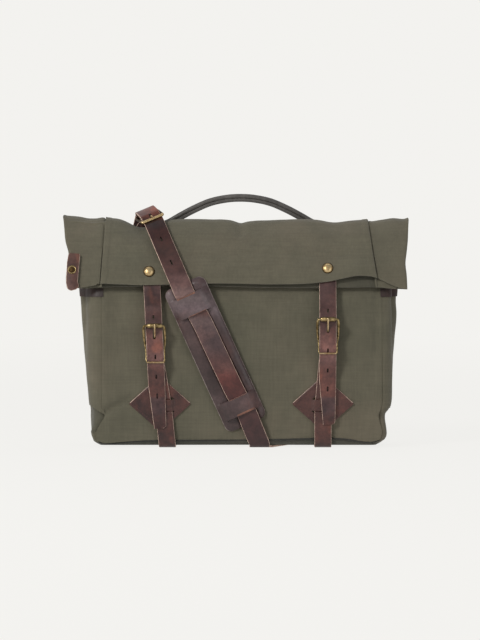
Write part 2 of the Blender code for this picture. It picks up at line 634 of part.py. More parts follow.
def closure_buckle(side, brass):
    """Frame with roller, hidden strap bar and keeper bar, and its prong."""
    bar = BUCKLE_BAR_Z[side]
    cx = x_along(CLOSURE_X[side], bar)
    top, foot = bar + BUCKLE_TOP, bar + BUCKLE_FOOT
    half = BUCKLE_HALF
    right_side = [(half - 0.0032, at_depth(ROLLER_DEPTH), top), (half - 0.0008, at_depth(ROLLER_DEPTH), top - 0.0012),
                  (half, at_depth(ROLLER_DEPTH - 0.0012), top - 0.0050),
                  (half, at_depth(0.0605), top - 0.0130), (half - 0.0002, at_depth(BUCKLE_BAR_DEPTH), bar),
                  (half - 0.0004, at_depth(0.0602), foot + 0.0110),
                  (half - 0.0006, at_depth(KEEPER_DEPTH - 0.0010), foot + 0.0035),
                  (half - 0.0016, at_depth(KEEPER_DEPTH), foot + 0.0006),
                  (half - 0.0040, at_depth(KEEPER_DEPTH), foot)]
    top_bar = [(x, at_depth(ROLLER_DEPTH), top) for x in (-0.0093, 0.0, 0.0093)]
    keeper = [(x, at_depth(KEEPER_DEPTH), foot) for x in (0.004, -0.004)]
    left_side = [(-x, y, z) for x, y, z in reversed(right_side)]
    loop = route(top_bar[1:] + right_side + keeper + left_side + top_bar[:1], 2, closed=True)
    loop[:, 0] += [x_along(CLOSURE_X[side], z) for z in loop[:, 2]]
    frame = tube(f"{SIDES[side]}_buckle_frame", loop, BUCKLE_WIRE, brass, across=(0, 0.6, 0.8), closed=True,
                 around=6)
    bar_y = at_depth(BUCKLE_BAR_DEPTH)
    hidden = tube(f"{SIDES[side]}_buckle_bar", [(cx - half + 0.0006, bar_y, bar), (cx, bar_y, bar),
                  (cx + half - 0.0006, bar_y, bar)], BAR_WIRE, brass, across=(0, 0, 1))
    combine(frame, hidden, "UNION")

    curl = [(bar_y - 0.00275 * math.cos(math.radians(a)), bar + 0.00275 * math.sin(math.radians(a)))
            for a in range(0, -251, -25)]
    hole_z = bar + PRONG_HOLE
    arm = [(at_depth(0.0604), bar + 0.0052), (at_depth(BILLET_DEPTH), hole_z - 0.0002),
           (at_depth(0.0662), hole_z + 0.0050), (at_depth(0.0696), top - 0.0040),
           (at_depth(0.0709), top - 0.0006), (at_depth(0.0709), top + 0.0018)]
    line = np.vstack([curl, route(arm, 2)])
    path = [(cx, y, z) for y, z in line]
    tube(f"{SIDES[side]}_buckle_prong", path, 0.0010, brass, pivot=(cx, bar_y, bar), around=6)

    ring = [(0.00185, -0.0088), (ROLLER_RADIUS, -0.0088), (ROLLER_RADIUS, 0.0088), (0.00185, 0.0088)]
    roller(f"{SIDES[side]}_buckle_roller", ring, (cx, at_depth(ROLLER_DEPTH), top), brass)


def roller(name, ring, at, brass, around=16):
    """A short pipe on a bar along X, given by its (radius, x) section."""
    verts, faces = [], []
    n = len(ring)
    for k in range(around):
        a = 2 * math.pi * k / around
        verts += [(at[0] + x, at[1] + r * math.cos(a), at[2] + r * math.sin(a)) for r, x in ring]
    for k in range(around):
        m = (k + 1) % around
        for i in range(n):
            j = (i + 1) % n
            faces.append((n * k + i, n * k + j, n * m + j, n * m + i))
    return smooth(add(name, verts, faces, brass, at), 50)


# ---------------------------------------------------------------- shoulder strap
STRAP_FOOT_X = 0.0293          # middle of the shoulder strap at the front of the base
SHOULDER_X = ((-0.1045, 0.2853), (-0.0625, 0.190), (-0.0475, 0.168), (0.0020, 0.064), (0.0135, 0.044),
              (STRAP_FOOT_X, 0.005))                 # x, z down the strap's middle
FRONT_BAR = (-0.1045, at_depth(0.0180), 0.2853)      # middles of the top buckle's two bars
REAR_BAR = (-0.1125, at_depth(-0.0080), 0.2905)
BAR_LEAN = (0.905, 0.204, 0.374)                     # direction of both bars
TOP_WIRE = 0.0016
BUCKLE_HINGE = (0, at_depth(-0.0102), 0.2670)        # where the chape bends away from the back
FRONT_ROUTE = [(0.0470, 0.0012), (0.0500, 0.0040), (0.0519, 0.0090), (0.0562, 0.020), (0.0590, 0.030),
               (0.0604, 0.045), (0.0613, 0.070), (0.0613, 0.120), (0.0613, 0.160), (0.0612, 0.190),
               (0.0604, 0.206), (0.0548, 0.224), (0.0462, 0.242), (0.0372, 0.2580), (0.0285, 0.2700),
               (0.0225, 0.2770)]                     # depth in front of the middle plane, height


def top_frame():
    """The top buckle's own axes: across its bars, from front bar to rear bar, and up."""
    along = np.array(REAR_BAR) - np.array(FRONT_BAR)
    length = np.linalg.norm(along)
    along /= length
    across = np.array(BAR_LEAN)
    across = unit(across - along * (along @ across))
    return across, along, np.cross(across, along), length


def top_spot(u, v, lift):
    """A point in the top buckle's axes, from the middle of its front bar."""
    across, along, up, _ = top_frame()
    return np.array(FRONT_BAR) + across * u + along * v + up * lift


def shoulder_strap(leather, pad_leather):
    pivot = (0, at_depth(0.0460), 0.0040)
    length = top_frame()[3]
    points = [(x_along(SHOULDER_X, z), at_depth(d), z) for d, z in FRONT_ROUTE]
    points += [tuple(top_spot(0, v, lift)) for v, lift in
               ((0.0, -0.0032), (0.008, -0.0012), (0.015, 0.0026), (0.021, 0.0052), (length, 0.0061),
                (length + 0.0050, 0.0050))]
    points += [(-0.1148, at_depth(-0.0172), 0.2905), (-0.1158, at_depth(-0.0184), 0.2835),
               (-0.1174, at_depth(-0.0180), 0.2760), (-0.1194, at_depth(-0.0186), 0.2680),
               (-0.1212, at_depth(-0.0216), 0.2600)]
    path = route(points, 2)
    heights = path[:, 2]
    rise = np.clip((heights - 0.262) / 0.022, 0, 1)[:, None]
    across = (1 - rise) * np.array([1.0, 0, 0]) + rise * np.array(BAR_LEAN)
    level = np.clip(1 - (heights - 0.012) / 0.03, 0, 1)
    width = np.full(len(path), SHOULDER_WIDTH)
    width[-3:] *= (0.96, 0.88, 0.62)
    piece = strap("shoulder_strap_front", path, width, LEATHER, leather, pivot, across, level)
    corners = [top_spot(u, v, w) for u in (-0.0019, 0.0019)
               for v in (0.0060, 0.0215) for w in (-0.008, 0.009)]
    faces = [(0, 1, 3, 2), (4, 6, 7, 5), (0, 4, 5, 1), (2, 3, 7, 6), (0, 2, 6, 4), (1, 5, 7, 3)]
    combine(piece, add("shoulder_prong_hole", corners, faces, leather), "DIFFERENCE")

    centre = np.array([-0.0258, 0.117])
    down = unit([SHOULDER_SLOPE, -1.0])
    over = np.array([-down[1], down[0]])
    half_l, half_w, radius = PAD_LENGTH / 2, PAD_WIDTH / 2, 0.010
    rows = [(-half_l, half_w - radius), (-half_l + 0.003, half_w - 0.003), (-half_l + radius, half_w)]
    rows += [(s, half_w) for s in np.linspace(-half_l + 0.03, half_l - 0.03, 7)]
    rows += [(half_l - radius, half_w), (half_l - 0.003, half_w - 0.003), (half_l, half_w - radius)]
    outer, inner = [], []
    for along, wide in rows:
        row_out, row_in = [], []
        for w in (-wide, -0.4 * wide, 0.4 * wide, wide):
            x, z = centre + down * along + over * w
            back_face = pad_depth(z)
            row_out.append((x, at_depth(back_face + PAD_THICKNESS), z))
            row_in.append((x, at_depth(back_face), z))
        outer.append(row_out)
        inner.append(row_in)
    smooth(shell("shoulder_pad", np.array(outer), np.array(inner), pad_leather, pivot))


def pad_depth(z):
    """Depth of the pad's rear face, which lies over the flap's edge at its top."""
    return float(np.interp(z, [0.015, 0.034, 0.060, 0.110, 0.190, 0.206, 0.218, 0.230],
                           [0.0496, 0.0512, 0.0535, 0.0543, 0.0543, 0.0530, 0.0490, 0.0440]))


def shoulder_strap_back(leather):
    """The rest of the strap: under the base to the right anchor, and the left anchor to the fold."""
    under = LEATHER / 2
    start = STRAP_FOOT_X + 0.0030
    ground = [(0.0440, under), (0.022, under), (0.0, under), (-0.022, under), (-0.0430, under),
              (-0.0478, 0.0020), (-0.0507, 0.0050), (-0.0520, 0.0110)]
    points = [(start + SHOULDER_SLOPE * (0.0440 - d), at_depth(d), z) for d, z in ground]
    x0 = points[-1][0]
    for z in (0.030, 0.060, 0.090, 0.120, 0.150, 0.168, 0.184):
        lift = GAP + LEATHER / 2 + 0.0006 + 0.0026 * (z > 0.16)
        points.append((x0 + (z - 0.011) * 0.52, back_y(z) + lift, z))
    path = route(points, 2)
    level = np.clip(1 - (path[:, 2] - 0.012) / 0.03, 0, 1)
    strap("shoulder_strap_under", path, SHOULDER_WIDTH, LEATHER, leather, level=level)

    lift = GAP + LEATHER / 2 + 0.0008
    points = [(-0.1640, back_y(0.186) + lift + 0.0026, 0.186),
              (-0.1580, back_y(0.200) + lift + 0.0026, 0.200),
              (-0.1490, back_y(0.222) + lift, 0.222), (-0.1400, back_y(0.242) + lift + 0.0002, 0.242),
              (-0.1330, back_y(0.256) + lift + 0.0008, 0.256), (-0.1285, back_y(0.2645) + lift + 0.0014, 0.2645)]
    strap("shoulder_strap_rear", route(points, 2), SHOULDER_WIDTH, LEATHER, leather)


def anchor_band(side, leather):
    """A leather band round the gusset that holds one end of the shoulder strap."""
    sign = -1 if side == LEFT else 1
    low, high = 0.1855, 0.1980
    rows_out, rows_in = [], []
    clear = 0.0014
    for z in (low, (low + high) / 2, high):
        for rows, inset in ((rows_out, -clear - THIN_LEATHER), (rows_in, -clear)):
            plan = gusset_plan(z, inset)
            plan = [(SEAM_X - 0.010, plan[0][1])] + plan + [(SEAM_X - 0.020, plan[-1][1])]
            rows.append([(BODY_X + sign * x, y, z) for x, y in plan])
    return smooth(shell(f"{SIDES[side]}_anchor_band", np.array(rows_out), np.array(rows_in), leather))


def shoulder_buckle(leather, brass):
    """The brass buckle on the fold, its prong, and the leather chape that holds it."""
    across, _, up, length = top_frame()
    half = 0.0146
    loop = [(-half + 0.0028, 0), (0, 0), (half - 0.0028, 0), (half - 0.0005, 0.0012), (half, 0.0045),
            (half, length / 2), (half, length - 0.003), (half - 0.0016, length), (0, length), (-half + 0.0016, length),
            (-half, length - 0.003), (-half, length / 2), (-half, 0.0045), (-half + 0.0005, 0.0012)]
    path = route([top_spot(u, v, 0) for u, v in loop], 2, closed=True)
    tube("shoulder_buckle_frame", path, TOP_WIRE, brass, BUCKLE_HINGE, across=up, closed=True, around=6)

    turns = [math.radians(a) for a in range(-20, 231, 25)]
    path = [top_spot(0, length - 0.00345 * math.cos(a), -0.00345 * math.sin(a)) for a in turns]
    path += [top_spot(0, v, lift) for v, lift in
             ((length - 0.0062, 0.0022), (0.0140, 0.0022), (0.0070, 0.0026), (0.0020, 0.0031), (-0.0014, 0.0031))]
    tube("shoulder_buckle_prong", path, 0.0011, brass, REAR_BAR, across=across, around=6)

    turn = TOP_WIRE + 1.5 * GAP + LEATHER / 2
    path = [(-0.1240, at_depth(-0.0110), 0.2692), (-0.1215, at_depth(-0.0112), 0.2735),
            (-0.1175, at_depth(-0.0128), 0.2795), (-0.1150, at_depth(-0.0134), 0.2850)]
    loop = [top_spot(0, length + turn * math.cos(math.radians(a)), turn * math.sin(math.radians(a)))
            for a in (5, 30, 55, 80, 105, 130, 155, 180, 205, 230)]
    path = np.vstack([route(path + [tuple(loop[0])], 3)[:-1], loop])
    rise = np.clip((path[:, 2] - 0.268) / 0.014, 0, 1)[:, None]
    lean = (1 - rise) * np.array([1.0, 0, 0]) + rise * np.array(BAR_LEAN)
    chape = strap("shoulder_buckle_chape", path, 0.0235, LEATHER, leather, BUCKLE_HINGE, lean)
    corners = [top_spot(u, v, w) for u in (-0.0021, 0.0021) for v in (length - 0.008, length + 0.0070)
               for w in (-0.0050, 0.0080)]
    faces = [(0, 1, 3, 2), (4, 6, 7, 5), (0, 4, 5, 1), (2, 3, 7, 6), (0, 2, 6, 4), (1, 5, 7, 3)]
    combine(chape, add("chape_slot", corners, faces, leather), "DIFFERENCE", "MANIFOLD")


def anchor_rivets(brass):
    """Brass caps that fasten the shoulder strap's two ends."""
    for name, x, z in (("left_anchor_rivet", -0.1645, 0.1915), ("right_anchor_rivet", 0.1640, 0.1765)):
        slope = unit([0, 0.022, 0.009])
        at = np.array([x, back_y(z), z]) + slope * 0.0074
        rivet_cap(name, at, slope, brass, radius=0.0048, height=0.0020)


# ---------------------------------------------------------------- top handle
def handle(leather, brass):
    y = BODY_Y + HANDLE_BAR_DEPTH
    pivot = (HANDLE_X, y, HANDLE_BAR_Z)
    top_bar = HANDLE_BAR_Z + RING_HEIGHT
    half = [(0.0, HANDLE_TOP_Z), (0.018, HANDLE_TOP_Z - 0.0012), (0.038, HANDLE_TOP_Z - 0.0055),
            (0.058, HANDLE_TOP_Z - 0.0140), (0.076, HANDLE_TOP_Z - 0.0235), (0.088, HANDLE_TOP_Z - 0.0305),
            (0.0960, top_bar + 0.0070), (HANDLE_SPAN, top_bar + 0.0008), (HANDLE_SPAN, top_bar - 0.0035)]
    points = [(HANDLE_X - u, y, z) for u, z in reversed(half)] + [(HANDLE_X + u, y, z) for u, z in half[1:]]
    grip = tube("handle_grip", route(points, 2), GRIP_RADIUS, leather, pivot, across=(0, 1, 0),
                around=8, flat=1.05)
    for i, name in enumerate(SIDES):
        sign = -1 if i == LEFT else 1
        cx = HANDLE_X + sign * HANDLE_SPAN
        bore_line = [(cx - 0.01, y, top_bar), (cx, y, top_bar), (cx + 0.01, y, top_bar)]
        bore = tube(f"{name}_handle_bore", bore_line,
                    RING_WIRE + 0.0005, leather, across=(0, 0, 1))
        combine(grip, bore, "DIFFERENCE")
        r = 0.0025
        h = RING_HALF_X
        ring = [(-h + r, 0), (0, 0), (h - r, 0), (h, r), (h, RING_HEIGHT / 2), (h, RING_HEIGHT - r),
                (h - r, RING_HEIGHT), (0, RING_HEIGHT), (-h + r, RING_HEIGHT), (-h, RING_HEIGHT - r),
                (-h, RING_HEIGHT / 2), (-h, r)]
        path = route([(cx + u, y, HANDLE_BAR_Z + v) for u, v in ring], 2, closed=True)
        tube(f"{name}_handle_ring", path, RING_WIRE, brass, pivot, across=(0, 1, 0), closed=True,
             around=6)
        handle_chape(name, cx, y, leather, brass)


def handle_chape(name, cx, y, leather, brass):
    """The riveted leather loop that holds a handle ring to the back panel."""
    turn = RING_WIRE + GAP + THIN_LEATHER / 2
    lift = GAP + THIN_LEATHER / 2 + 0.0003
    rise = [(back_y(z) + lift, z) for z in (0.226, 0.234, 0.242, 0.2485)]
    loop = [(y + turn * math.cos(math.radians(a)), HANDLE_BAR_Z + turn * math.sin(math.radians(a)))
            for a in (200, 165, 130, 95, 60, 25, 0)]
    fall = [(back_y(z) + lift + THIN_LEATHER + GAP + 0.0003, z) for z in (0.2475, 0.241, 0.234)]
    path = [(cx, a, b) for a, b in rise + loop + fall]
    strap(f"{name}_handle_chape", path, 0.016, THIN_LEATHER, leather)
    slope = unit([0, 0.034, 0.018])
    at = np.array([cx, back_y(0.237), 0.237]) + slope * (lift + 1.5 * THIN_LEATHER + 2 * GAP + 0.0008)
    rivet_cap(f"{name}_handle_rivet", at, slope, brass, radius=0.0045, height=0.0018)


# ---------------------------------------------------------------- build
for old in list(bpy.data.objects):
    bpy.data.objects.remove(old, do_unlink=True)

CANVAS_MAT = material("olive_canvas", (0.105, 0.095, 0.065), 0.9)
PIPING_MAT = material("dark_piping", (0.045, 0.045, 0.038), 0.85)
BOARD_MAT = material("base_board", (0.09, 0.07, 0.05), 0.9)
STRAP_MAT = material("brown_leather", (0.105, 0.048, 0.036), 0.45)
PAD_MAT = material("pad_leather", (0.075, 0.046, 0.044), 0.4)
HANDLE_MAT = material("grey_leather", (0.060, 0.054, 0.050), 0.55)
BRASS = material("aged_brass", (0.36, 0.25, 0.10), 0.35, 1.0)

body_panel("front_panel", front_y, 1, NECK_Z, CANVAS_MAT)
back_cap(CANVAS_MAT)
base_panel(CANVAS_MAT)
base_piping("base_piping_front", front_y, 1, PIPING_MAT)
base_piping("base_piping_back", back_y, -1, PIPING_MAT)
base_board(BOARD_MAT)

FOLD_AXIS = (0, BODY_Y, FOLD_Z)
flap_outer_panel(CANVAS_MAT, FOLD_AXIS)
flap_inner_layer(CANVAS_MAT, FOLD_AXIS)
side_tab(STRAP_MAT, BRASS, FOLD_AXIS)

for side in (LEFT, RIGHT):
    gusset(side, CANVAS_MAT)
    flap_wing(side, CANVAS_MAT, FOLD_AXIS)
    anchor_band(side, STRAP_MAT)
    rivet_x, rivet_z = RIVET_AT[side]
    face_y, face_n = flap_face_at(rivet_z)
    rivet_cap(f"{SIDES[side]}_flap_rivet", np.array([rivet_x, face_y, rivet_z]) + face_n * GAP, face_n, BRASS,
              FOLD_AXIS)
    strap_hinge = (0, at_depth(0.0477), FLAP_EDGE_Z)
    closure_strap(side, STRAP_MAT, strap_hinge)
    lower_strap(side, STRAP_MAT)
    diamond_patch(side, STRAP_MAT)
    closure_buckle(side, BRASS)

shoulder_strap(STRAP_MAT, PAD_MAT)
shoulder_strap_back(STRAP_MAT)
shoulder_buckle(STRAP_MAT, BRASS)
anchor_rivets(BRASS)
handle(HANDLE_MAT, BRASS)
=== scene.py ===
"""Looks of the canvas messenger bag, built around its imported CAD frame.

Frame: +X right, front of the bag at -Y, +Z up, metres. The canvas is a flattened tube whose top folds
forward over the front. Every strap follows the route that its CAD node has.
"""
import json
import math

import bmesh
import bpy
import numpy as np
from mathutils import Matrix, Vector, noise


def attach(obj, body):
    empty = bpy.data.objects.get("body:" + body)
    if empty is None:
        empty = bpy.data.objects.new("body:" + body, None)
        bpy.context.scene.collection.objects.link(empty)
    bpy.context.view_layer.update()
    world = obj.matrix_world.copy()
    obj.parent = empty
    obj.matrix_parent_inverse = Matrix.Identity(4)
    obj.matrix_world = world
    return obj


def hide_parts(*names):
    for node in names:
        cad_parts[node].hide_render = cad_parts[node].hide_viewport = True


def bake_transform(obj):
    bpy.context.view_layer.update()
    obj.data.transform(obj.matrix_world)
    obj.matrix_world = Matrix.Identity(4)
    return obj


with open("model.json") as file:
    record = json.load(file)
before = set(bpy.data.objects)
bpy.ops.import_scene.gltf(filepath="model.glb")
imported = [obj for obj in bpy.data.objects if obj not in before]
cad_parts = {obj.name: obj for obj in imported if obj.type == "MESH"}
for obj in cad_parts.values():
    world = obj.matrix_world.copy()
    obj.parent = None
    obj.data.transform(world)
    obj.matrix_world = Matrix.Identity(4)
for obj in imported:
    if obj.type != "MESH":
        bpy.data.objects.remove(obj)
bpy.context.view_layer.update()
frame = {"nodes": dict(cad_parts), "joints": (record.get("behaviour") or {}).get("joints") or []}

JOINTS = {joint["name"]: joint for joint in frame["joints"]}
BODY_Y = JOINTS["flap_fold"]["pos_m"][1]       # middle plane of the bag
FOLD_Z = JOINTS["flap_fold"]["pos_m"][2]       # top line of the fold

CANVAS = 0.0016                # wall of the shown canvas
GUSSET_CANVAS = 0.0009         # the gussets fold tightly, so their wall is thinner
BASE_CANVAS = 0.0014
LEATHER = 0.0024
THIN_LEATHER = 0.0018
SKIN_GAP = 0.0003              # between a strap and the canvas it lies on
STRAP_WIDTH = 0.0210
SHOULDER_WIDTH = 0.025


# ---------------------------------------------------------------- curves
def route(points, per_span=8, closed=False):
    """A smooth curve through points, with per_span steps between neighbours."""
    pts = np.array(points, float)
    n = len(pts)
    if closed:
        pts = np.vstack([pts[-1], pts, pts[:2]])
        spans = n
    else:
        pts = np.vstack([2 * pts[0] - pts[1], pts, 2 * pts[-1] - pts[-2]])
        spans = n - 1
    out = []
    for i in range(spans):
        a, b, c, d = pts[i:i + 4]
        for t in np.linspace(0, 1, per_span, endpoint=False):
            out.append(0.5 * (2 * b + (c - a) * t + (2 * a - 5 * b + 4 * c - d) * t * t
                              + (3 * b - a - 3 * c + d) * t ** 3))
    if not closed:
        out.append(pts[-2])
    return np.array(out)


def reader(stations):
    """A smooth function of one value, given by a few (value, result) stations."""
    fine = route(stations, 12)
    order = np.argsort(fine[:, 0])
    return lambda value: np.interp(value, fine[order, 0], fine[order, 1])


def smoothstep(low, high, value):
    """0 at low and 1 at high, with a soft start and end; low may be the larger one."""
    t = np.clip((np.asarray(value, float) - low) / (high - low), 0, 1)
    return t * t * (3 - 2 * t)


def unit(v):
    v = np.array(v, float)
    return v / np.linalg.norm(v)


def ripple(points, scale, seed):
    """Smooth noise between about -1 and 1 at every point."""
    shift = Vector((seed * 3.17, seed * 1.31, seed * 7.73))
    flat = points.reshape(-1, 3) / scale
    values = [noise.noise(Vector(p) + shift) for p in flat]
    return np.array(values).reshape(points.shape[:-1])


# side view of the body: height, depth in front of and behind the middle plane
front_depth = reader([(0.003, 0.0470), (0.012, 0.0485), (0.030, 0.0495), (0.060, 0.0498), (0.120, 0.0495),
                      (0.170, 0.0446), (0.205, 0.0362), (0.235, 0.0240), (0.255, 0.0140), (0.266, 0.0090),
                      (0.276, 0.0078)])
back_depth = reader([(0.003, 0.0470), (0.012, 0.0485), (0.030, 0.0495), (0.060, 0.0498), (0.120, 0.0492),
                     (0.170, 0.0450), (0.205, 0.0378), (0.240, 0.0250), (0.262, 0.0105), (0.272, 0.0045),
                     (0.276, 0.0036)])
# front view: height, edge of the gussets
left_edge = reader([(0.003, -0.1735), (0.0075, -0.1770), (0.015, -0.1797), (0.0215, -0.1818),
                    (0.046, -0.1832), (0.059, -0.1846), (0.084, -0.1870), (0.134, -0.1919), (0.184, -0.1963), (0.215, -0.2015),
                    (0.245, -0.2090), (0.266, -0.2150), (0.276, -0.2165)])
right_edge = reader([(0.003, 0.1790), (0.0075, 0.1840), (0.015, 0.1881), (0.0275, 0.1874), (0.034, 0.1867),
                     (0.040, 0.1880), (0.048, 0.1928), (0.059, 0.1952), (0.084, 0.1957), (0.134, 0.1997),
                     (0.165, 0.2024), (0.184, 0.2019), (0.215, 0.2050), (0.245, 0.2100), (0.266, 0.2145),
                     (0.276, 0.2165)])
# the flap's outer face in side view: depth in front of the middle plane, height
FLAP_LINE = route([(-0.0036, 0.2760), (-0.0034, 0.2805), (-0.0026, 0.2845), (-0.0010, 0.2867),
                   (0.0014, 0.2872), (0.0060, 0.2858), (0.0120, 0.2820), (0.0220, 0.2700), (0.0300, 0.2560), (0.0380, 0.2400),
                   (0.0460, 0.2220), (0.0520, 0.2040)], 8)
# the inner layer's line, hidden in the crease of the fold and then behind the outer face
INNER_LINE = route([(0.0078, 0.2760), (0.0082, 0.2770), (0.0088, 0.2777), (0.0096, 0.2780), (0.0103, 0.2777),
                    (0.0108, 0.2765), (0.0114, 0.2745), (0.0150, 0.2660), (0.0228, 0.2515), (0.0305, 0.2360),
                    (0.0384, 0.2184), (0.0444, 0.2010)], 8)
# height of the fold's top line above FOLD_Z, along the flap
skyline = reader([(-0.2185, 0.0062), (-0.2165, 0.0052), (-0.213, 0.0038), (-0.208, 0.0034), (-0.196, 0.0024),
                  (-0.186, 0.0004), (-0.176, 0.0002), (-0.169, 0.0014), (-0.165, 0.0010), (-0.1615, -0.0004),
                  (-0.157, -0.0008), (-0.147, -0.0020), (-0.137, -0.0055), (-0.127, -0.0098),
                  (-0.1175, -0.0112), (-0.104, -0.0088), (-0.088, -0.0045), (-0.064, -0.0026), (-0.024, -0.0026),
                  (-0.0086, -0.0038), (0.005, -0.0068), (0.020, -0.0048), (0.044, -0.0032), (0.073, -0.0022),
                  (0.100, -0.0026), (0.123, -0.0066), (0.148, -0.0040), (0.165, -0.0028), (0.172, -0.0036),
                  (0.195, -0.0002), (0.208, -0.0010), (0.2125, -0.0006), (0.2155, 0.0010), (0.2175, 0.0026)])
# lower edges of the flap's two layers, along the flap
outer_hem = reader([(-0.218, 0.1990), (-0.195, 0.1996), (-0.1750, 0.2030), (-0.170, 0.2050), (-0.140, 0.2040),
                    (-0.1075, 0.2032), (-0.028, 0.2052), (0.035, 0.2042), (0.080, 0.2046), (0.1025, 0.2062),
                    (0.1175, 0.2080), (0.134, 0.2116), (0.150, 0.2146), (0.166, 0.2142), (0.1765, 0.2116),
                    (0.190, 0.2050), (0.204, 0.1996), (0.217, 0.1978)])
inner_hem = reader([(-0.218, 0.1988), (-0.190, 0.1990), (-0.1738, 0.1998), (-0.140, 0.2006), (-0.100, 0.2016),
                    (-0.060, 0.2030), (-0.028, 0.2012), (0.035, 0.1996), (0.080, 0.1992), (0.124, 0.1994),
                    (0.170, 0.2000), (0.1925, 0.1986), (0.217, 0.1972)])
flap_left_edge = reader([(0.199, -0.2110), (0.210, -0.2140), (0.222, -0.2140), (0.236, -0.2122),
                         (0.246, -0.2118), (0.259, -0.2158), (0.272, -0.2175), (0.287, -0.2190)])
flap_right_edge = reader([(0.199, 0.2160), (0.209, 0.2155), (0.221, 0.2150), (0.234, 0.2138), (0.246, 0.2152),
                          (0.259, 0.2168), (0.272, 0.2180), (0.287, 0.2185)])


def front_y(z):
    return BODY_Y - front_depth(z)


def back_y(z):
    return BODY_Y + back_depth(z)


def at_depth(depth):
    return BODY_Y - depth


def in_front(*spots):
    """Side-view points (y, height) from (depth in front of the middle plane, height) pairs."""
    return [(at_depth(depth), z) for depth, z in spots]


def x_along(stations, z):
    """Where a line down the front lies at a height, from its (x, height) stations."""
    return np.interp(-np.asarray(z), [-s[1] for s in stations], [s[0] for s in stations])


def arc(centre, radius, degrees):
    """Points of a turn in side view: 0 degrees lies behind the centre and 90 above it."""
    turns = [math.radians(a) for a in degrees]
    return [(centre[0] + radius * math.cos(a), centre[1] + radius * math.sin(a)) for a in turns]


# ---------------------------------------------------------------- materials
WEAVE_PITCH = 0.0009           # one warp and one weft thread of the canvas
TINT_TOP = 0.32                # the tones below run from the floor to this height
TINT_GAIN = 4.6                # brightest tone that a band can have


def srgb(*rgb):
    """Linear colour from 0-255 display values."""
    shares = [c / 255 for c in rgb]
    return (*(s / 12.92 if s <= 0.04045 else ((s + 0.055) / 1.055) ** 2.4 for s in shares), 1.0)


def grey(value):
    return (value, value, value, 1)


class Look:
    """One material, and the nodes that give its surface its colours and grain."""

    def __init__(self, name, roughness, metallic=0.0):
        self.mat = bpy.data.materials.new(name)
        self.mat.use_nodes = True
        self.nodes, self.links = self.mat.node_tree.nodes, self.mat.node_tree.links
        self.shader = self.nodes["Principled BSDF"]
        self.coords = self.nodes.new("ShaderNodeTexCoord").outputs["Object"]
        self.surface({"Roughness": roughness, "Metallic": metallic})

    def put(self, socket, value):
        """Gives a socket a plain value, or joins another node's output to it."""
        if isinstance(value, bpy.types.NodeSocket):
            self.links.new(value, socket)
        else:
            socket.default_value = value

    def surface(self, values):
        for name, value in values.items():
            self.put(self.shader.inputs[name], value)

    def node(self, kind, values):
        """A new node with its inputs filled by name or by number."""
        node = self.nodes.new(f"ShaderNode{kind}")
        for name, value in values.items():
            self.put(node.inputs[name], value)
        return node

    def noise(self, scale, detail=3.0, roughness=0.55, stretch=None):
        coords = self.coords
        if stretch:
            coords = self.node("Mapping", {"Scale": stretch, "Vector": coords}).outputs["Vector"]
        values = {"Scale": scale, "Detail": detail, "Roughness": roughness, "Vector": coords}
        return self.node("TexNoise", values).outputs["Fac"]

    def ramp(self, value, *stops):
        node = self.node("ValToRGB", {"Fac": value})
        node.color_ramp.interpolation = "EASE"
        elements = node.color_ramp.elements
        while len(elements) < len(stops):
            elements.new(0.5)
        for element, (place, colour) in zip(elements, stops):
            element.position = place
            element.color = colour
        return node.outputs["Color"]

    def math(self, operation, *values):
        node = self.node("Math", dict(enumerate(values)))
        node.operation = operation
        return node.outputs[0]

    def mix(self, factor, a, b, kind="MIX"):
        node = self.nodes.new("ShaderNodeMix")
        node.data_type = "RGBA"
        node.blend_type = kind
        for index, value in ((0, factor), (6, a), (7, b)):
            self.put(node.inputs[index], value)
        return node.outputs[2]

    def times(self, a, b):
        return self.mix(1.0, a, b, "MULTIPLY")

    def bump(self, height, strength, distance):
        node = self.node("Bump", {"Strength": strength, "Distance": distance, "Height": height})
        self.surface({"Normal": node.outputs["Normal"]})

    def axes(self):
        return self.node("SeparateXYZ", {0: self.coords}).outputs


def canvas_material(name, base, dark, warm):
    """Waxed cotton canvas: plain weave, faded patches and a faint sheen."""
    look = Look(name, 0.88)
    colour = look.ramp(look.noise(9.0, 4.0), (0.34, srgb(*dark)), (0.50, srgb(*base)), (0.68, srgb(*warm)))
    colour = look.times(colour, look.ramp(look.noise(38.0, 5.0, 0.6), (0.30, grey(0.93)), (0.70, grey(1.06))))
    for stretch in ((1.0, 1.0, 0.06), (0.06, 0.06, 1.0)):
        streak = look.noise(420.0, 3.0, 0.6, stretch)
        colour = look.times(colour, look.ramp(streak, (0.30, grey(0.95)), (0.70, grey(1.05))))
    axes = look.axes()
    warp, weft = (look.math("SINE", look.math("MULTIPLY", along, 2 * math.pi / WEAVE_PITCH))
                  for along in (look.math("ADD", axes["X"], axes["Y"]), axes["Z"]))
    height = look.math("ADD", look.math("MULTIPLY", warp, weft), look.noise(700.0, 2.0, 0.6))
    thread = look.ramp(look.math("MULTIPLY_ADD", height, 0.25, 0.5), (0.0, grey(0.90)), (0.8, grey(1.06)))
    look.bump(height, 0.35, 0.00025)
    look.surface({"Base Color": look.times(colour, thread), "Sheen Weight": 0.12, "Sheen Roughness": 0.6,
                  "Specular IOR Level": 0.25})
    return look.mat


def height_tones_and_light(look, colour, bands):
    """Multiplies a colour by tones that change with the height above the floor; the bright bands among them are
    painted highlights.
    """
    place = look.math("DIVIDE", look.axes()["Z"], TINT_TOP)
    stops = [(z / TINT_TOP, tuple(c / TINT_GAIN for c in tone) + (1,)) for z, tone in bands]
    return look.times(look.times(colour, look.ramp(place, *stops)), grey(TINT_GAIN))


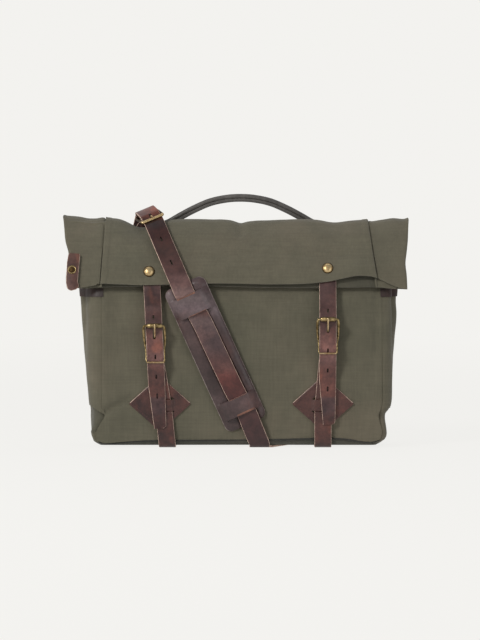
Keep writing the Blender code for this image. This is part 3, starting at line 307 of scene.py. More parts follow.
def leather_material(name, dark, middle, light, worn, roughness=0.42, spread=30.0, bands=None):
    """Oiled leather: cloudy pull-up tones, fine grain and a satin surface; bands adds tones by height, partly
    painted highlights.
    """
    look = Look(name, roughness)
    clouds = look.noise(spread, 5.0, 0.62)
    colour = look.ramp(clouds, (0.32, srgb(*dark)), (0.52, srgb(*middle)), (0.72, srgb(*light)))
    rubbed = look.ramp(look.noise(spread * 1.7, 3.0, 0.5, (1.0, 1.0, 0.7)), (0.54, grey(0)), (0.78, grey(0.55)))
    colour = look.mix(rubbed, colour, srgb(*worn))
    # tones by height; their bright bands paint highlights into the colour
    if bands:
        colour = height_tones_and_light(look, colour, bands)
    fibres = look.noise(260.0, 4.0, 0.7)
    colour = look.times(colour, look.ramp(fibres, (0.30, grey(0.78)), (0.70, grey(1.16))))
    gloss = look.ramp(clouds, (0.3, grey(roughness - 0.08)), (0.7, grey(roughness + 0.14)))
    cells = look.node("TexVoronoi", {"Scale": 1100.0, "Vector": look.coords}).outputs["Distance"]
    look.bump(look.math("ADD", cells, fibres), 0.22, 0.00022)
    look.surface({"Base Color": colour, "Roughness": gloss, "Coat Weight": 0.08, "Coat Roughness": 0.30,
                  "Specular IOR Level": 0.40})
    return look.mat


def raw_edge_material(name, pale, brown):
    """A cut leather edge, or plain board."""
    look = Look(name, 0.75)
    fibres = look.noise(160.0, 4.0, 0.7)
    look.surface({"Base Color": look.ramp(fibres, (0.32, srgb(*brown)), (0.62, srgb(*pale)))})
    look.bump(fibres, 0.3, 0.0003)
    return look.mat


def brass_material(name, bright, tarnish, roughness):
    """Old brass: bright and tarnished patches with fine scratches."""
    look = Look(name, roughness, 1.0)
    patches = look.noise(190.0, 4.0, 0.65)
    rough = look.ramp(patches, (0.3, grey(roughness + 0.16)), (0.7, grey(roughness - 0.04)))
    look.surface({"Base Color": look.ramp(patches, (0.30, srgb(*tarnish)), (0.62, srgb(*bright))),
                  "Roughness": rough})
    look.bump(look.noise(420.0, 3.0, 0.6, (1.0, 1.0, 6.0)), 0.10, 0.0001)
    return look.mat


def thread_material(name, rgb):
    """Twisted sewing thread."""
    look = Look(name, 0.8)
    colour = srgb(*rgb)
    lighter = tuple(min(1.0, c * 1.4) for c in colour[:3]) + (1,)
    look.surface({"Base Color": look.ramp(look.noise(900.0, 2.0, 0.6), (0.35, colour), (0.65, lighter))})
    return look.mat


# tones by height, with painted highlights among them: height, red, green and blue multipliers
# the bright bands from 0.112 to 0.128 m paint a highlight on the billets; the others darken, grey or redden the
# leather by height
STRAP_TONES_AND_HIGHLIGHTS = [(0.0, (0.80, 0.66, 0.66)), (0.035, (0.80, 0.66, 0.66)), (0.048, (0.82, 0.92, 1.10)),
               (0.061, (0.86, 0.96, 1.12)), (0.066, (1.40, 1.12, 1.02)), (0.095, (1.30, 1.10, 1.04)),
               (0.112, (1.75, 1.85, 1.95)), (0.128, (1.55, 1.50, 1.55)), (0.148, (0.95, 0.88, 0.88)),
               (0.200, (0.84, 0.84, 0.90)), (0.300, (0.84, 0.84, 0.90))]
# the bright bands from 0.105 to 0.208 m paint highlights on the strap over and above the pad; the orange bands
# from 0.289 m are the rubbed leather at the top buckle; the others darken or redden it by height
SHOULDER_TONES_AND_HIGHLIGHTS = [(0.0, (0.66, 0.54, 0.62)), (0.046, (0.66, 0.54, 0.62)), (0.062, (1.05, 0.62, 0.62)),
                  (0.085, (1.18, 0.66, 0.64)), (0.105, (1.35, 1.25, 1.30)), (0.130, (1.55, 2.00, 2.25)),
                  (0.160, (2.00, 2.80, 3.10)), (0.170, (1.70, 1.50, 1.40)), (0.178, (2.70, 2.70, 2.60)),
                  (0.192, (3.30, 4.40, 4.60)), (0.208, (2.10, 2.30, 2.40)), (0.225, (1.15, 0.95, 0.90)),
                  (0.250, (0.42, 0.27, 0.22)), (0.268, (0.66, 0.34, 0.28)), (0.282, (0.46, 0.38, 0.40)),
                  (0.289, (1.80, 1.10, 0.80)), (0.298, (2.60, 1.60, 1.10)), (0.320, (2.60, 1.70, 1.20))]
# the bright bands at 0.060 m and from 0.160 to 0.200 m paint highlights on the pad's two bridges; the others
# darken the pad by height
PAD_TONES_AND_HIGHLIGHTS = [(0.0, (0.80, 0.72, 0.70)), (0.040, (0.80, 0.72, 0.70)), (0.060, (1.30, 1.20, 1.20)),
             (0.074, (0.84, 0.72, 0.70)), (0.140, (0.78, 0.66, 0.64)), (0.160, (1.10, 1.06, 1.08)),
             (0.174, (2.10, 2.25, 2.40)), (0.186, (2.00, 2.20, 2.25)), (0.200, (1.20, 1.10, 1.12)),
             (0.320, (1.10, 1.00, 1.00))]

CANVAS_MAT = canvas_material("olive_canvas", (85, 81, 67), (82, 79, 65), (90, 84, 70))
LINING_MAT = canvas_material("canvas_inside", (70, 67, 56), (65, 64, 53), (76, 71, 60))
# painted shade: a darker canvas for the hollow at the base's left corners, where the fold turns inward
RECESS_SHADE_MAT = canvas_material("canvas_recess", (72, 69, 57), (69, 67, 55), (76, 71, 59))
# painted shade: a darker, greyer canvas for the base below the foot seam, where it rounds under
FOOT_SHADE_MAT = canvas_material("canvas_foot", (60, 60, 52), (56, 56, 49), (64, 62, 54))
PIPING_MAT = canvas_material("dark_piping", (38, 38, 33), (34, 34, 30), (44, 42, 37))
STRAP_MAT = leather_material("brown_leather", (52, 33, 31), (72, 46, 42), (98, 66, 59), (110, 64, 49),
                             0.40, 30.0, STRAP_TONES_AND_HIGHLIGHTS)
PATCH_MAT = leather_material("patch_leather", (48, 29, 27), (70, 41, 36), (96, 58, 49), (102, 54, 41))
SHOULDER_MAT = leather_material("shoulder_leather", (46, 29, 28), (62, 40, 37), (84, 56, 50), (84, 52, 46),
                                0.36, 22.0, SHOULDER_TONES_AND_HIGHLIGHTS)
TAB_MAT = leather_material("tab_leather", (58, 35, 30), (78, 49, 41), (100, 66, 54), (116, 70, 52))
# painted shade: the anchor bands lie in the shadow under the flap, so their leather is painted dark
ANCHOR_SHADE_MAT = leather_material("anchor_leather", (30, 20, 18), (42, 28, 25), (56, 38, 33), (60, 38, 30), 0.62)
PAD_MAT = leather_material("pad_leather", (50, 39, 39), (64, 51, 51), (86, 71, 70), (84, 58, 52),
                           0.40, 14.0, PAD_TONES_AND_HIGHLIGHTS)
HANDLE_MAT = leather_material("handle_leather", (58, 55, 52), (74, 71, 68), (92, 89, 85), (80, 76, 72),
                              0.50, 18.0)
LIP_MAT = leather_material("worn_lip", (70, 46, 40), (98, 64, 52), (132, 88, 68), (150, 98, 72), 0.45)
EDGE_MAT = raw_edge_material("raw_leather_edge", (192, 166, 150), (138, 110, 100))
# painted shade: a dark edge colour for the walls of punched holes and for the shaded anchor bands' edges
SHADE_EDGE_MAT = raw_edge_material("dark_leather_edge", (66, 44, 38), (40, 27, 25))
PAD_EDGE_MAT = raw_edge_material("pad_edge", (156, 142, 138), (100, 86, 84))
BOARD_MAT = raw_edge_material("base_board", (120, 104, 84), (96, 82, 66))
BRASS_MAT = brass_material("aged_brass", (158, 138, 98), (88, 72, 46), 0.36)
BRIGHT_BRASS_MAT = brass_material("polished_brass", (198, 174, 136), (142, 114, 82), 0.28)
CAP_MAT = brass_material("worn_cap", (206, 182, 138), (160, 132, 90), 0.30)
# tarnished brass; as a thin ring under each flap rivet's cap it is painted shadow
TARNISH_AND_SHADE_MAT = brass_material("tarnished_brass", (78, 60, 38), (44, 33, 22), 0.50)
LEATHER_THREAD_MAT = thread_material("brown_thread", (76, 50, 44))

# the record's material slot behind each finish, in dicts that are built and not kept
dict.fromkeys((CANVAS_MAT, RECESS_SHADE_MAT), "olive_canvas")
dict.fromkeys((STRAP_MAT, SHOULDER_MAT, TAB_MAT, ANCHOR_SHADE_MAT, PATCH_MAT, LEATHER_THREAD_MAT),
                           "brown_leather")
dict.fromkeys((BRASS_MAT, BRIGHT_BRASS_MAT, CAP_MAT, TARNISH_AND_SHADE_MAT), "aged_brass")


# ---------------------------------------------------------------- mesh helpers
def add_piece(name, verts, faces, mats, body, replaces=(), face_mats=None, sharp=40):
    """A closed mesh shown as one piece that rides on a body."""
    mesh = bpy.data.meshes.new(name)
    mesh.from_pydata([tuple(v) for v in verts], [], faces)
    for mat in mats:
        mesh.materials.append(mat)
    if face_mats is not None:
        mesh.polygons.foreach_set("material_index", face_mats)
    bm = bmesh.new()
    bm.from_mesh(mesh)
    bmesh.ops.recalc_face_normals(bm, faces=bm.faces)
    bm.to_mesh(mesh)
    bm.free()
    mesh.shade_smooth()
    if sharp:
        mesh.set_sharp_from_angle(angle=math.radians(sharp))
    obj = bpy.data.objects.new(name, mesh)
    bpy.context.collection.objects.link(obj)
    if body:
        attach(obj, body)
    if replaces:
        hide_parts(*replaces)
    return obj


def cut(obj, cutters, folded=False):
    """Cuts closed tools out of an object and removes them; folded allows for a piece that touches itself."""
    for tool in cutters:
        mod = obj.modifiers.new(tool.name, "BOOLEAN")
        mod.solver = "EXACT"
        mod.use_self = folded
        mod.operation = "DIFFERENCE"
        mod.object = tool
        mod.material_mode = "TRANSFER"
    depsgraph = bpy.context.evaluated_depsgraph_get()
    mesh = bpy.data.meshes.new_from_object(obj.evaluated_get(depsgraph))
    obj.modifiers.clear()
    obj.data = mesh
    for tool in cutters:
        bpy.data.objects.remove(tool, do_unlink=True)
    mesh.shade_smooth()
    mesh.set_sharp_from_angle(angle=math.radians(35))
    return obj


def ring_faces(rings, count, closed=False, start=0):
    """Quads between rings of count points; an open row of rings also has a cap at each end."""
    faces = []
    for i in range(rings if closed else rings - 1):
        near, far = start + count * i, start + count * ((i + 1) % rings)
        for k in range(count):
            m = (k + 1) % count
            faces.append((near + k, near + m, far + m, far + k))
    if not closed:
        faces += [tuple(start + count * i + k for k in range(count)) for i in (0, rings - 1)]
    return faces


def slot_cutter(name, centre, along, across, out, length, width, depth):
    """A stadium-shaped tool for an oblong hole."""
    around = 16
    along, across, out = unit(along), unit(across), unit(out)
    ring = []
    for k in range(around):
        a = 2 * math.pi * (k + 0.5) / around
        straight = (length - width) / 2 * (1 if math.sin(a) > 0 else -1)
        ring.append(np.array(centre) + across * math.cos(a) * width / 2
                    + along * (math.sin(a) * width / 2 + straight))
    verts = [p - out * depth for p in ring] + [p + out * depth for p in ring]
    # the tool's dark colour passes to the hole's walls, as painted shade inside the hole
    return add_piece(name, verts, ring_faces(2, around), [SHADE_EDGE_MAT], None)


def frames(path, across=(1, 0, 0), closed=False, level=0.0):
    """Unit tangents, sides and normals along a path."""
    if closed:
        tangents = np.roll(path, -1, axis=0) - np.roll(path, 1, axis=0)
    else:
        tangents = np.gradient(path, axis=0)
    tangents /= np.linalg.norm(tangents, axis=1)[:, None]
    across = np.broadcast_to(np.asarray(across, float), path.shape)
    lean = (tangents * across).sum(1)
    sides = across - ((1 - np.asarray(level)) * lean)[:, None] * tangents
    sides /= np.linalg.norm(sides, axis=1)[:, None]
    normals = np.cross(tangents, sides)
    square = np.linalg.norm(normals, axis=1)[:, None]
    return tangents, sides / square, normals / square


def strap_section(half, thick, chamfer, crown):
    """A strap's cross-section: flat faces with softened corners; True marks the cut edges."""
    h = thick / 2
    inner = half - chamfer
    points = [(u * inner, h + crown * (1 - u * u)) for u in np.linspace(-1, 1, 9)]
    points += [(half, h - chamfer), (half, 0.0), (half, -h + chamfer)]
    points += [(u * inner, -h) for u in np.linspace(1, -1, 5)]
    points += [(-half, -h + chamfer), (-half, 0.0), (-half, h - chamfer)]
    raw = [8 <= i < 12 or 16 <= i for i in range(len(points))]
    return points, raw


def strap(name, path, width, thickness, mats, body, replaces=(), across=(1, 0, 0), level=0.0, crown=0.0002,
          chamfer=0.00045, shift=0.0):
    """A leather strap along a path, its cut edges in the second material."""
    path = np.asarray(path, float)
    _, sides, normals = frames(path, across, level=level)
    widths, shifts = (np.broadcast_to(np.asarray(value, float), (len(path),)) for value in (width, shift))
    verts = []
    for p, s, n, w, off in zip(path, sides, normals, widths, shifts):
        points, raw = strap_section(w / 2, thickness, chamfer, crown)
        verts += [p + s * (u + off) + n * v for u, v in points]
    verts = np.array(verts)
    verts[:, 2] = np.maximum(verts[:, 2], 0.0)
    marks = [int(edge) for edge in raw] * (len(path) - 1) + [1, 1]
    return add_piece(name, verts, ring_faces(len(path), len(raw)), mats, body, replaces, face_mats=marks)


def tube(name, path, radius, mat, body, replaces=(), across=(1, 0, 0), closed=False, around=14):
    """A round wire along a path; radius is a number or one for each point."""
    path = np.asarray(path, float)
    _, sides, normals = frames(path, across, closed)
    radii = np.broadcast_to(np.asarray(radius, float), (len(path),))[:, None]
    rings = [path + radii * (math.cos(a) * sides + math.sin(a) * normals)
             for a in np.linspace(0, 2 * math.pi, around, endpoint=False)]
    verts = np.stack(rings, 1).reshape(-1, 3)
    return add_piece(name, verts, ring_faces(len(path), around, closed), [mat], body, replaces, sharp=55)


def pipe(name, ring, at, mat, body, replaces, around=36):
    """A short pipe along X, given by its (radius, x) section."""
    verts = []
    for k in range(around):
        a = 2 * math.pi * k / around
        verts += [(at[0] + x, at[1] + r * math.cos(a), at[2] + r * math.sin(a)) for r, x in ring]
    return add_piece(name, verts, ring_faces(around, len(ring), True), [mat], body, replaces, sharp=45)


def turned(name, profile, at, axis, mat, body, replaces=(), around=40):
    """A turned piece: (radius, height) pairs from one pole to the other, along axis."""
    axis = Vector(axis).normalized()
    side = axis.orthogonal().normalized()
    other = axis.cross(side)
    verts = [Vector(at) + axis * profile[0][1]]
    for radius, height in profile[1:-1]:
        for a in np.linspace(0, 2 * math.pi, around, endpoint=False):
            verts.append(Vector(at) + axis * height + (side * math.cos(a) + other * math.sin(a)) * radius)
    verts.append(Vector(at) + axis * profile[-1][1])
    rings = len(profile) - 2
    top = 1 + (rings - 1) * around
    faces = ring_faces(rings, around, start=1)[:-2]
    for k in range(around):
        m = (k + 1) % around
        faces += [(0, 1 + m, 1 + k), (top + k, top + m, len(verts) - 1)]
    return add_piece(name, verts, faces, [mat], body, replaces, sharp=50)


def cap_profile(radius, height):
    """A domed rivet cap, as shares of its radius and height."""
    shares = ((0, 0), (0.97, 0), (1, 0.16), (0.985, 0.34), (0.90, 0.56), (0.74, 0.78), (0.50, 0.93),
              (0.25, 0.985), (0, 1))
    return [(radius * r, height * h) for r, h in shares]


def shell(name, outer, inner, mats, body, replaces=(), sharp=50, keep=None, cell_marks=None):
    """A wall between two grids of points; the inner side has the last material.

    keep marks the cells that exist, so a wall can have openings."""
    rows, cols = outer.shape[:2]
    if keep is None:
        keep = np.ones((rows - 1, cols - 1), bool)
    cells = [(r, c) for r in range(rows - 1) for c in range(cols - 1) if keep[r, c]]
    quads = [(r * cols + c, r * cols + c + 1, (r + 1) * cols + c + 1, (r + 1) * cols + c) for r, c in cells]
    used = sorted({i for quad in quads for i in quad})
    index = {old: new for new, old in enumerate(used)}
    quads = [tuple(index[i] for i in quad) for quad in quads]
    verts = np.vstack([outer.reshape(-1, 3)[used], inner.reshape(-1, 3)[used]])
    far = len(used)
    faces = quads + [tuple(far + i for i in reversed(quad)) for quad in quads]
    front_marks = [0] * len(cells) if cell_marks is None else [int(cell_marks[cell]) for cell in cells]
    marks = front_marks + [len(mats) - 1] * len(quads)
    edges = {(quad[k], quad[(k + 1) % 4]) for quad in quads for k in range(4)}
    for a, b in sorted(edges):
        if (b, a) not in edges:
            faces.append((b, a, far + a, far + b))
            marks.append(1 if len(mats) > 2 else 0)
    return add_piece(name, verts, faces, mats, body, replaces, face_mats=marks, sharp=sharp)


def stitches(name, path, out, mat, body, pitch, length, radius, lift=0.0001):
    """A row of thread stitches along a path that lies on a surface; out is that surface's normal."""
    path = np.asarray(path, float)
    steps = np.r_[0, np.cumsum(np.linalg.norm(np.diff(path, axis=0), axis=1))]
    n = unit(out)
    around = 6
    verts, faces = [], []
    for s in np.arange(pitch, steps[-1] - pitch / 2, pitch):
        spots = [np.array([np.interp(s + d, steps, path[:, k]) for k in range(3)])
                 for d in (-length / 2, -length / 4, length / 4, length / 2)]
        side = np.cross(unit(spots[3] - spots[0]), n)
        faces += ring_faces(len(spots), around, start=len(verts))
        for spot, size in zip(spots, (0.35, 1.0, 1.0, 0.35)):
            for turn in np.linspace(0, 2 * math.pi, around, endpoint=False):
                verts.append(spot + n * lift + radius * size * (math.cos(turn) * side + math.sin(turn) * n))
    return add_piece(name, verts, faces, [mat], body, sharp=0)


def grid_normals(grid):
    """Unit normals of a grid of points, by its neighbours."""
    normals = np.cross(np.gradient(grid, axis=1), np.gradient(grid, axis=0))
    length = np.linalg.norm(normals, axis=-1, keepdims=True)
    return normals / np.maximum(length, 1e-12)


def outward(grid, toward):
    """Softened normals of a grid of points, on the side that toward points to."""
    normals = grid_normals(grid)
    for _ in range(2):
        soft = normals.copy()
        soft[1:-1] = normals[1:-1] * 0.5 + (normals[:-2] + normals[2:]) * 0.25
        soft[:, 1:-1] = soft[:, 1:-1] * 0.5 + (soft[:, :-2] + soft[:, 2:]) * 0.25
        normals = soft / np.linalg.norm(soft, axis=-1, keepdims=True)
    low, middle = min(5, len(grid) // 2), grid.shape[1] // 2
    return normals * np.sign(normals[low, middle] @ np.array(toward))


# ---------------------------------------------------------------- canvas
LEFT_SEAM, RIGHT_SEAM = -0.1672, 0.1822        # side seams of the front, above the base corners
# the front face spreads round the base corners
left_corner = reader([(0.003, -0.1690), (0.0065, -0.1712), (0.0095, -0.1735), (0.0125, -0.1752),
                      (0.0165, -0.1760), (0.021, -0.1748), (0.028, -0.1705), (0.0385, -0.1640),
                      (0.0425, -0.1652), (0.050, -0.1672), (0.060, LEFT_SEAM)])
right_corner = reader([(0.003, 0.1720), (0.0065, 0.1755), (0.0095, 0.1785), (0.0125, 0.1808),
                       (0.0165, 0.1820), (0.022, 0.1822), (0.030, 0.1800), (0.0400, 0.1778), (0.0470, 0.1806), (0.056, 0.1822),
                       (0.066, RIGHT_SEAM)])
FOOT_Z = 0.0095                                # seam between the front and the base
FOOT_MEAN = 0.0088                             # the height that the seam wanders about
BASE_LOW = 0.0030                              # underside of the base
RIM_TOP = 0.095                                # above this the gusset's rows run level
RIM_ROW = 0.0555                               # the gusset's first row, which follows the base's rim
BASE_RIMS = ((0.0405, 0.0525), (0.0480, 0.0490))   # rim height at the seams and on the side, left and right
PANEL_STEP = 0.0026
GUSSET_COLS = 42
SEAM_LAP = 0.0070                              # width of a folded seam
RIVETS = ((-0.1085, 0.220), (0.1145, 0.224))   # x, z on the flap
SIDES = ("left", "right")
SIGNS = (-1, 1)
CANVAS_MATS = [CANVAS_MAT, LINING_MAT]

# height of the seam along the foot of the front and back
foot_line = reader([(-0.1700, 0.0070), (-0.1640, 0.0052), (-0.150, 0.0058), (-0.1325, 0.0072),
                    (-0.100, 0.0084), (-0.050, 0.0088), (0.0, 0.0090), (0.050, 0.0096), (0.090, 0.0108),
                    (0.1188, 0.0114), (0.1425, 0.0094), (0.161, 0.0070), (0.170, 0.0069), (0.1775, 0.0088)])


def settle_foot(grid):
    """Lets the seam along the foot of a panel wander up and down a little."""
    z = grid[..., 2]
    shift = foot_line(grid[..., 0]) - FOOT_MEAN
    grid[..., 2] += shift * smoothstep(0.0030, FOOT_Z, z) * smoothstep(0.032, FOOT_Z, z)
    return grid


def body_rows(heights):
    """Side-view stations of the filled body."""
    rows = []
    for z in heights:
        neck = float(smoothstep(0.19, 0.27, z))
        seams = (float(left_corner(z)) + 0.0030 * neck, float(right_corner(z)) - 0.0150 * neck)
        rows.append({"front": (front_y(z), z), "back": (back_y(z), z), "down": 0.0, "flap": 0.0,
                     "edges": (float(left_edge(z)), float(right_edge(z))), "seams": seams})
    return rows


def flap_rows():
    """Side-view stations from the neck over the fold and down the flap."""
    rows = []
    steps = np.concatenate([np.linspace(0, 0.62, 30)[1:], np.linspace(0.62, 1, 30)[1:]])
    for s in steps:
        places = [np.array([np.interp(s * (len(line) - 1), range(len(line)), line[:, k]) for k in (0, 1)])
                  for line in (INNER_LINE, FLAP_LINE)]
        inner, outer = places
        flap = float(smoothstep(0.0, 0.45, s))
        down = float(np.clip((FOLD_Z - outer[1]) / (FOLD_Z - 0.204), 0, 1)) if s > 0.3 else 0.0
        z = float(outer[1])
        rows.append({"front": (BODY_Y - inner[0], inner[1]), "back": (BODY_Y - outer[0], z), "down": down,
                     "flap": flap,
                     "edges": ((1 - flap) * -0.2165 + flap * float(flap_left_edge(z)),
                               (1 - flap) * 0.2165 + flap * float(flap_right_edge(z))),
                     "seams": ((1 - flap) * (LEFT_SEAM + 0.003) + flap * (-0.1636 - 0.0055 * down),
                               (1 - flap) * (RIGHT_SEAM - 0.015) + flap * (0.1655 + 0.0105 * down))})
    return rows


def panel_columns(seams):
    """Columns across a panel, closer together beside its seams."""
    near = np.array([0.0, 0.0006, 0.0014, 0.0030, 0.0050, 0.0066, 0.0074, 0.0086])
    left, right = seams
    count = int((RIGHT_SEAM - LEFT_SEAM) / PANEL_STEP)
    inner = np.linspace(left + near[-1], right - near[-1], count)
    return np.concatenate([left + near[:-1], inner, right - near[-2::-1]])


def round_side(row, side, count=GUSSET_COLS):
    """(x, share of the way to the back) round one side, from the front seam to the back seam."""
    seam = row["seams"][side]
    edge = row["edges"][side]
    reach = abs(edge - seam)
    depth = math.dist(row["front"], row["back"])
    radius = min(reach, depth / 2)
    bend = np.linspace(0, math.pi / 2, 10)
    points = [(-0.0016, 0.0)]
    points += [(reach - radius + radius * math.sin(a), radius - radius * math.cos(a)) for a in bend]
    points += [(reach - radius + radius * math.cos(a), depth - radius + radius * math.sin(a)) for a in bend]
    points += [(-0.0016, depth)]
    points = np.array(points)
    steps = np.r_[0, np.cumsum(np.linalg.norm(np.diff(points, axis=0), axis=1))]
    spaced = np.concatenate([[0, 0.0016 / steps[-1]], np.linspace(0.03, 0.97, count - 4),
                             [1 - 0.0016 / steps[-1], 1]]) * steps[-1]
    out = np.interp(spaced, steps, points[:, 0])
    share = np.interp(spaced, steps, points[:, 1]) / depth
    return seam + SIGNS[side] * out, share


def side_grid(rows, side, count=GUSSET_COLS):
    """Points round one side at every station, and each column's share of the way to the back."""
    grid, shares = [], []
    for row in rows:
        x, share = round_side(row, side, count)
        front, back = np.array(row["front"]), np.array(row["back"])
        line = front[None] * (1 - share[:, None]) + back[None] * share[:, None]
        grid.append(np.column_stack([x, line]))
        shares.append(share)
    return np.array(grid), np.array(shares)


def panel_grid(rows, face):
    """Points across the front or back face at every station."""
    grid = []
    for row in rows:
        x = panel_columns(row["seams"])
        grid.append(np.column_stack([x, np.full(len(x), row[face][0]), np.full(len(x), row[face][1])]))
    return np.array(grid)


LEVELS = np.arange(0.003, 0.1201, 0.0015)
LEVEL_ROWS = body_rows(LEVELS)
LEVEL_SIDES = [side_grid(LEVEL_ROWS, side) for side in (0, 1)]


def at_heights(side, heights):
    """The body's side at a height of its own for every column."""
    grid, _ = LEVEL_SIDES[side]
    return np.array([[np.interp(z, LEVELS, grid[:, c, k]) for k in (0, 1)] + [z]
                     for c, z in enumerate(heights)])


def base_rim(side):
    """Height of the base seam round one side; it drops towards the front and back seams."""
    x = LEVEL_SIDES[side][0][30, :, 0]
    reach = abs(x - x[0]) / abs(x - x[0]).max()
    low, level = BASE_RIMS[side]
    return low + (level - low) * np.minimum(reach * 1.04, 1.0)


def drape(grid, normals, rise, calm=1.0):
    """Moves canvas points along their normals, plus the cloth's own soft unevenness."""
    x, z = grid[..., 0], grid[..., 2]
    soft = 0.0011 * ripple(grid, 0.062, 3) + 0.00040 * ripple(grid, 0.021, 5)
    streaks = 0.00018 * ripple(grid * np.array([1.0, 1.0, 0.35]), 0.010, 9)
    fade = np.clip((z - 0.004) / 0.02, 0, 1) * calm
    out = grid + normals * (rise + (soft + streaks) * fade)[..., None]
    lift = smoothstep(0.246, 0.286, z)
    out[..., 2] += skyline(x) * lift
    return out


def groove(distance, width, depth):
    """A soft hollow; width and depth may be those of a ridge too."""
    return -depth * np.exp(-(distance / width) ** 2)


def seam_relief(x, seams):
    """A folded seam along both edges of a panel: raised lap, stitch line and rounded edge."""
    rise = np.zeros_like(x)
    for side, sign in ((0, 1), (1, -1)):
        from_seam = (x - seams[:, side][:, None]) * sign
        rise += 0.00060 * (1 - smoothstep(SEAM_LAP - 0.0006, SEAM_LAP + 0.0012, from_seam))
        rise += groove(from_seam - SEAM_LAP + 0.0012, 0.0006, 0.00025)
        rise -= 0.0006 * (1 - smoothstep(0.0, 0.0012, from_seam))
    return rise


def hem_shift(grid, share_outer, hem):
    """Stretches the flap's last part so that its edge ends at the hem's height."""
    z = grid[..., 2]
    low = z[-1:, :]
    reach = np.clip((0.252 - z) / (0.252 - low), 0, 1)
    moved = (hem - low) * reach
    grid[..., 2] += moved * share_outer
    grid[..., 1] += moved * share_outer * 0.36
    return grid


BODY_HEIGHTS = np.concatenate([[FOOT_Z, 0.0112, 0.0140, 0.0180, 0.0220],
                               np.arange(0.0262, 0.2725, 0.0034), [0.2760]])
TUBE_ROWS = body_rows(BODY_HEIGHTS) + flap_rows()
ON_FLAP = len(BODY_HEIGHTS)
TUBE_SEAMS = np.array([row["seams"] for row in TUBE_ROWS])
TUBE_DOWN = np.array([row["down"] for row in TUBE_ROWS])[:, None]
TUBE_FLAP = np.array([row["flap"] for row in TUBE_ROWS])[:, None]


def wall(name, outer, normals, mats, replaces, thick=CANVAS):
    """A canvas wall under an outer surface, which may run from the body over the fold to the flap; it is baked in
    place and rides on no body.
    """
    piece = shell(name, outer, outer - normals * thick, mats, None)
    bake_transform(piece)
    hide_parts(*replaces)
    return piece


def front_canvas():
    """The front panel, which turns up inside the fold into the flap's inner layer."""
    grid = panel_grid(TUBE_ROWS, "front")
    normals = outward(grid, (0, -1, 0))
    x, z = grid[..., 0], grid[..., 2]
    rise = seam_relief(x, TUBE_SEAMS) * smoothstep(0.038, 0.050, z) * (0.55 + 0.45 * TUBE_FLAP)
    body = 1 - TUBE_FLAP
    corner = smoothstep(-0.110, -0.160, x) * smoothstep(0.060, 0.034, z) * body
    rise += 0.0022 * corner
    crease = z - 0.0440 - (x + 0.1650) * 0.52
    rise += groove(crease, 0.0048, 0.0044) * smoothstep(-0.118, -0.150, x) * body
    corner = smoothstep(0.135, 0.175, x) * smoothstep(0.058, 0.036, z) * body
    rise += 0.0018 * corner
    pucker = z - 0.0460 + (x - 0.182) * 0.30
    rise += groove(pucker, 0.0045, 0.0013) * smoothstep(0.140, 0.172, x) * body
    rise += groove(z - 0.0135, 0.0016, 0.0004) * body
    rise += groove(x - RIGHT_SEAM + 0.006, 0.0055, 0.0020) * smoothstep(0.09, 0.15, z) * body
    rise += groove(x - LEFT_SEAM - 0.020, 0.0120, 0.0014) * smoothstep(0.08, 0.15, z) * body
    rise += groove(z - 0.1985 - 0.02 * (x - 0.1) ** 2, 0.006, 0.0010) * body
    outer = settle_foot(drape(grid, normals, rise, 1 - 0.6 * TUBE_FLAP))
    on = slice(ON_FLAP, None)
    outer[on] = hem_shift(outer[on], TUBE_DOWN[on], inner_hem(x[on]))
    return wall("canvas_front", outer, normals, CANVAS_MATS, ("front_panel", "flap_inner_layer"))


def back_canvas():
    """The back panel, which turns over the fold into the flap's outer layer."""
    grid = panel_grid(TUBE_ROWS, "back")
    normals = outward(grid, (0, 1, 0))
    x, z = grid[..., 0], grid[..., 2]
    rise = seam_relief(x, TUBE_SEAMS)
    for rivet_x, rivet_z in RIVETS:
        away = np.hypot(x - rivet_x, z - rivet_z)
        rise += groove(away, 0.010, 0.0013) * TUBE_FLAP
    wave = 0.0015 * np.sin(x * 40)
    rise += groove(z - 0.2405 - wave, 0.0022, 0.0005) * TUBE_FLAP * smoothstep(0.175, 0.12, abs(x))
    rise += groove(x - 0.006 - 0.10 * (z - 0.28), 0.0048, 0.0012) * smoothstep(0.255, 0.275, z) * TUBE_FLAP
    rise += groove(x + 0.112 + 0.44 * (z - 0.285), 0.016, 0.0022) * smoothstep(0.225, 0.262, z) * TUBE_FLAP
    rise += groove(z - 0.2115, 0.0010, 0.00030) * TUBE_FLAP
    rise -= groove(x - 0.152, 0.024, 0.0035) * smoothstep(0.5, 1.0, TUBE_DOWN)
    outer = settle_foot(drape(grid, normals, rise))
    on = slice(ON_FLAP, None)
    outer[on] = hem_shift(outer[on], TUBE_DOWN[on], outer_hem(x[on]))
    return wall("canvas_back", outer, normals, CANVAS_MATS, ("back_panel", "flap_outer_panel"))


def side_folds(side, share, z):
    """How far a gusset folds inwards, at a share of the way to the back and a height."""
    depth, fold_at = ((0.0050, 0.17), (0.0075, 0.14))[side]
    upper = smoothstep(0.262, 0.225, z)
    return (groove(share - fold_at, 0.075, depth) * smoothstep(0.085, 0.165, z)
            + groove(share - 0.52, 0.16, 0.0060) * smoothstep(0.12, 0.19, z)) * upper


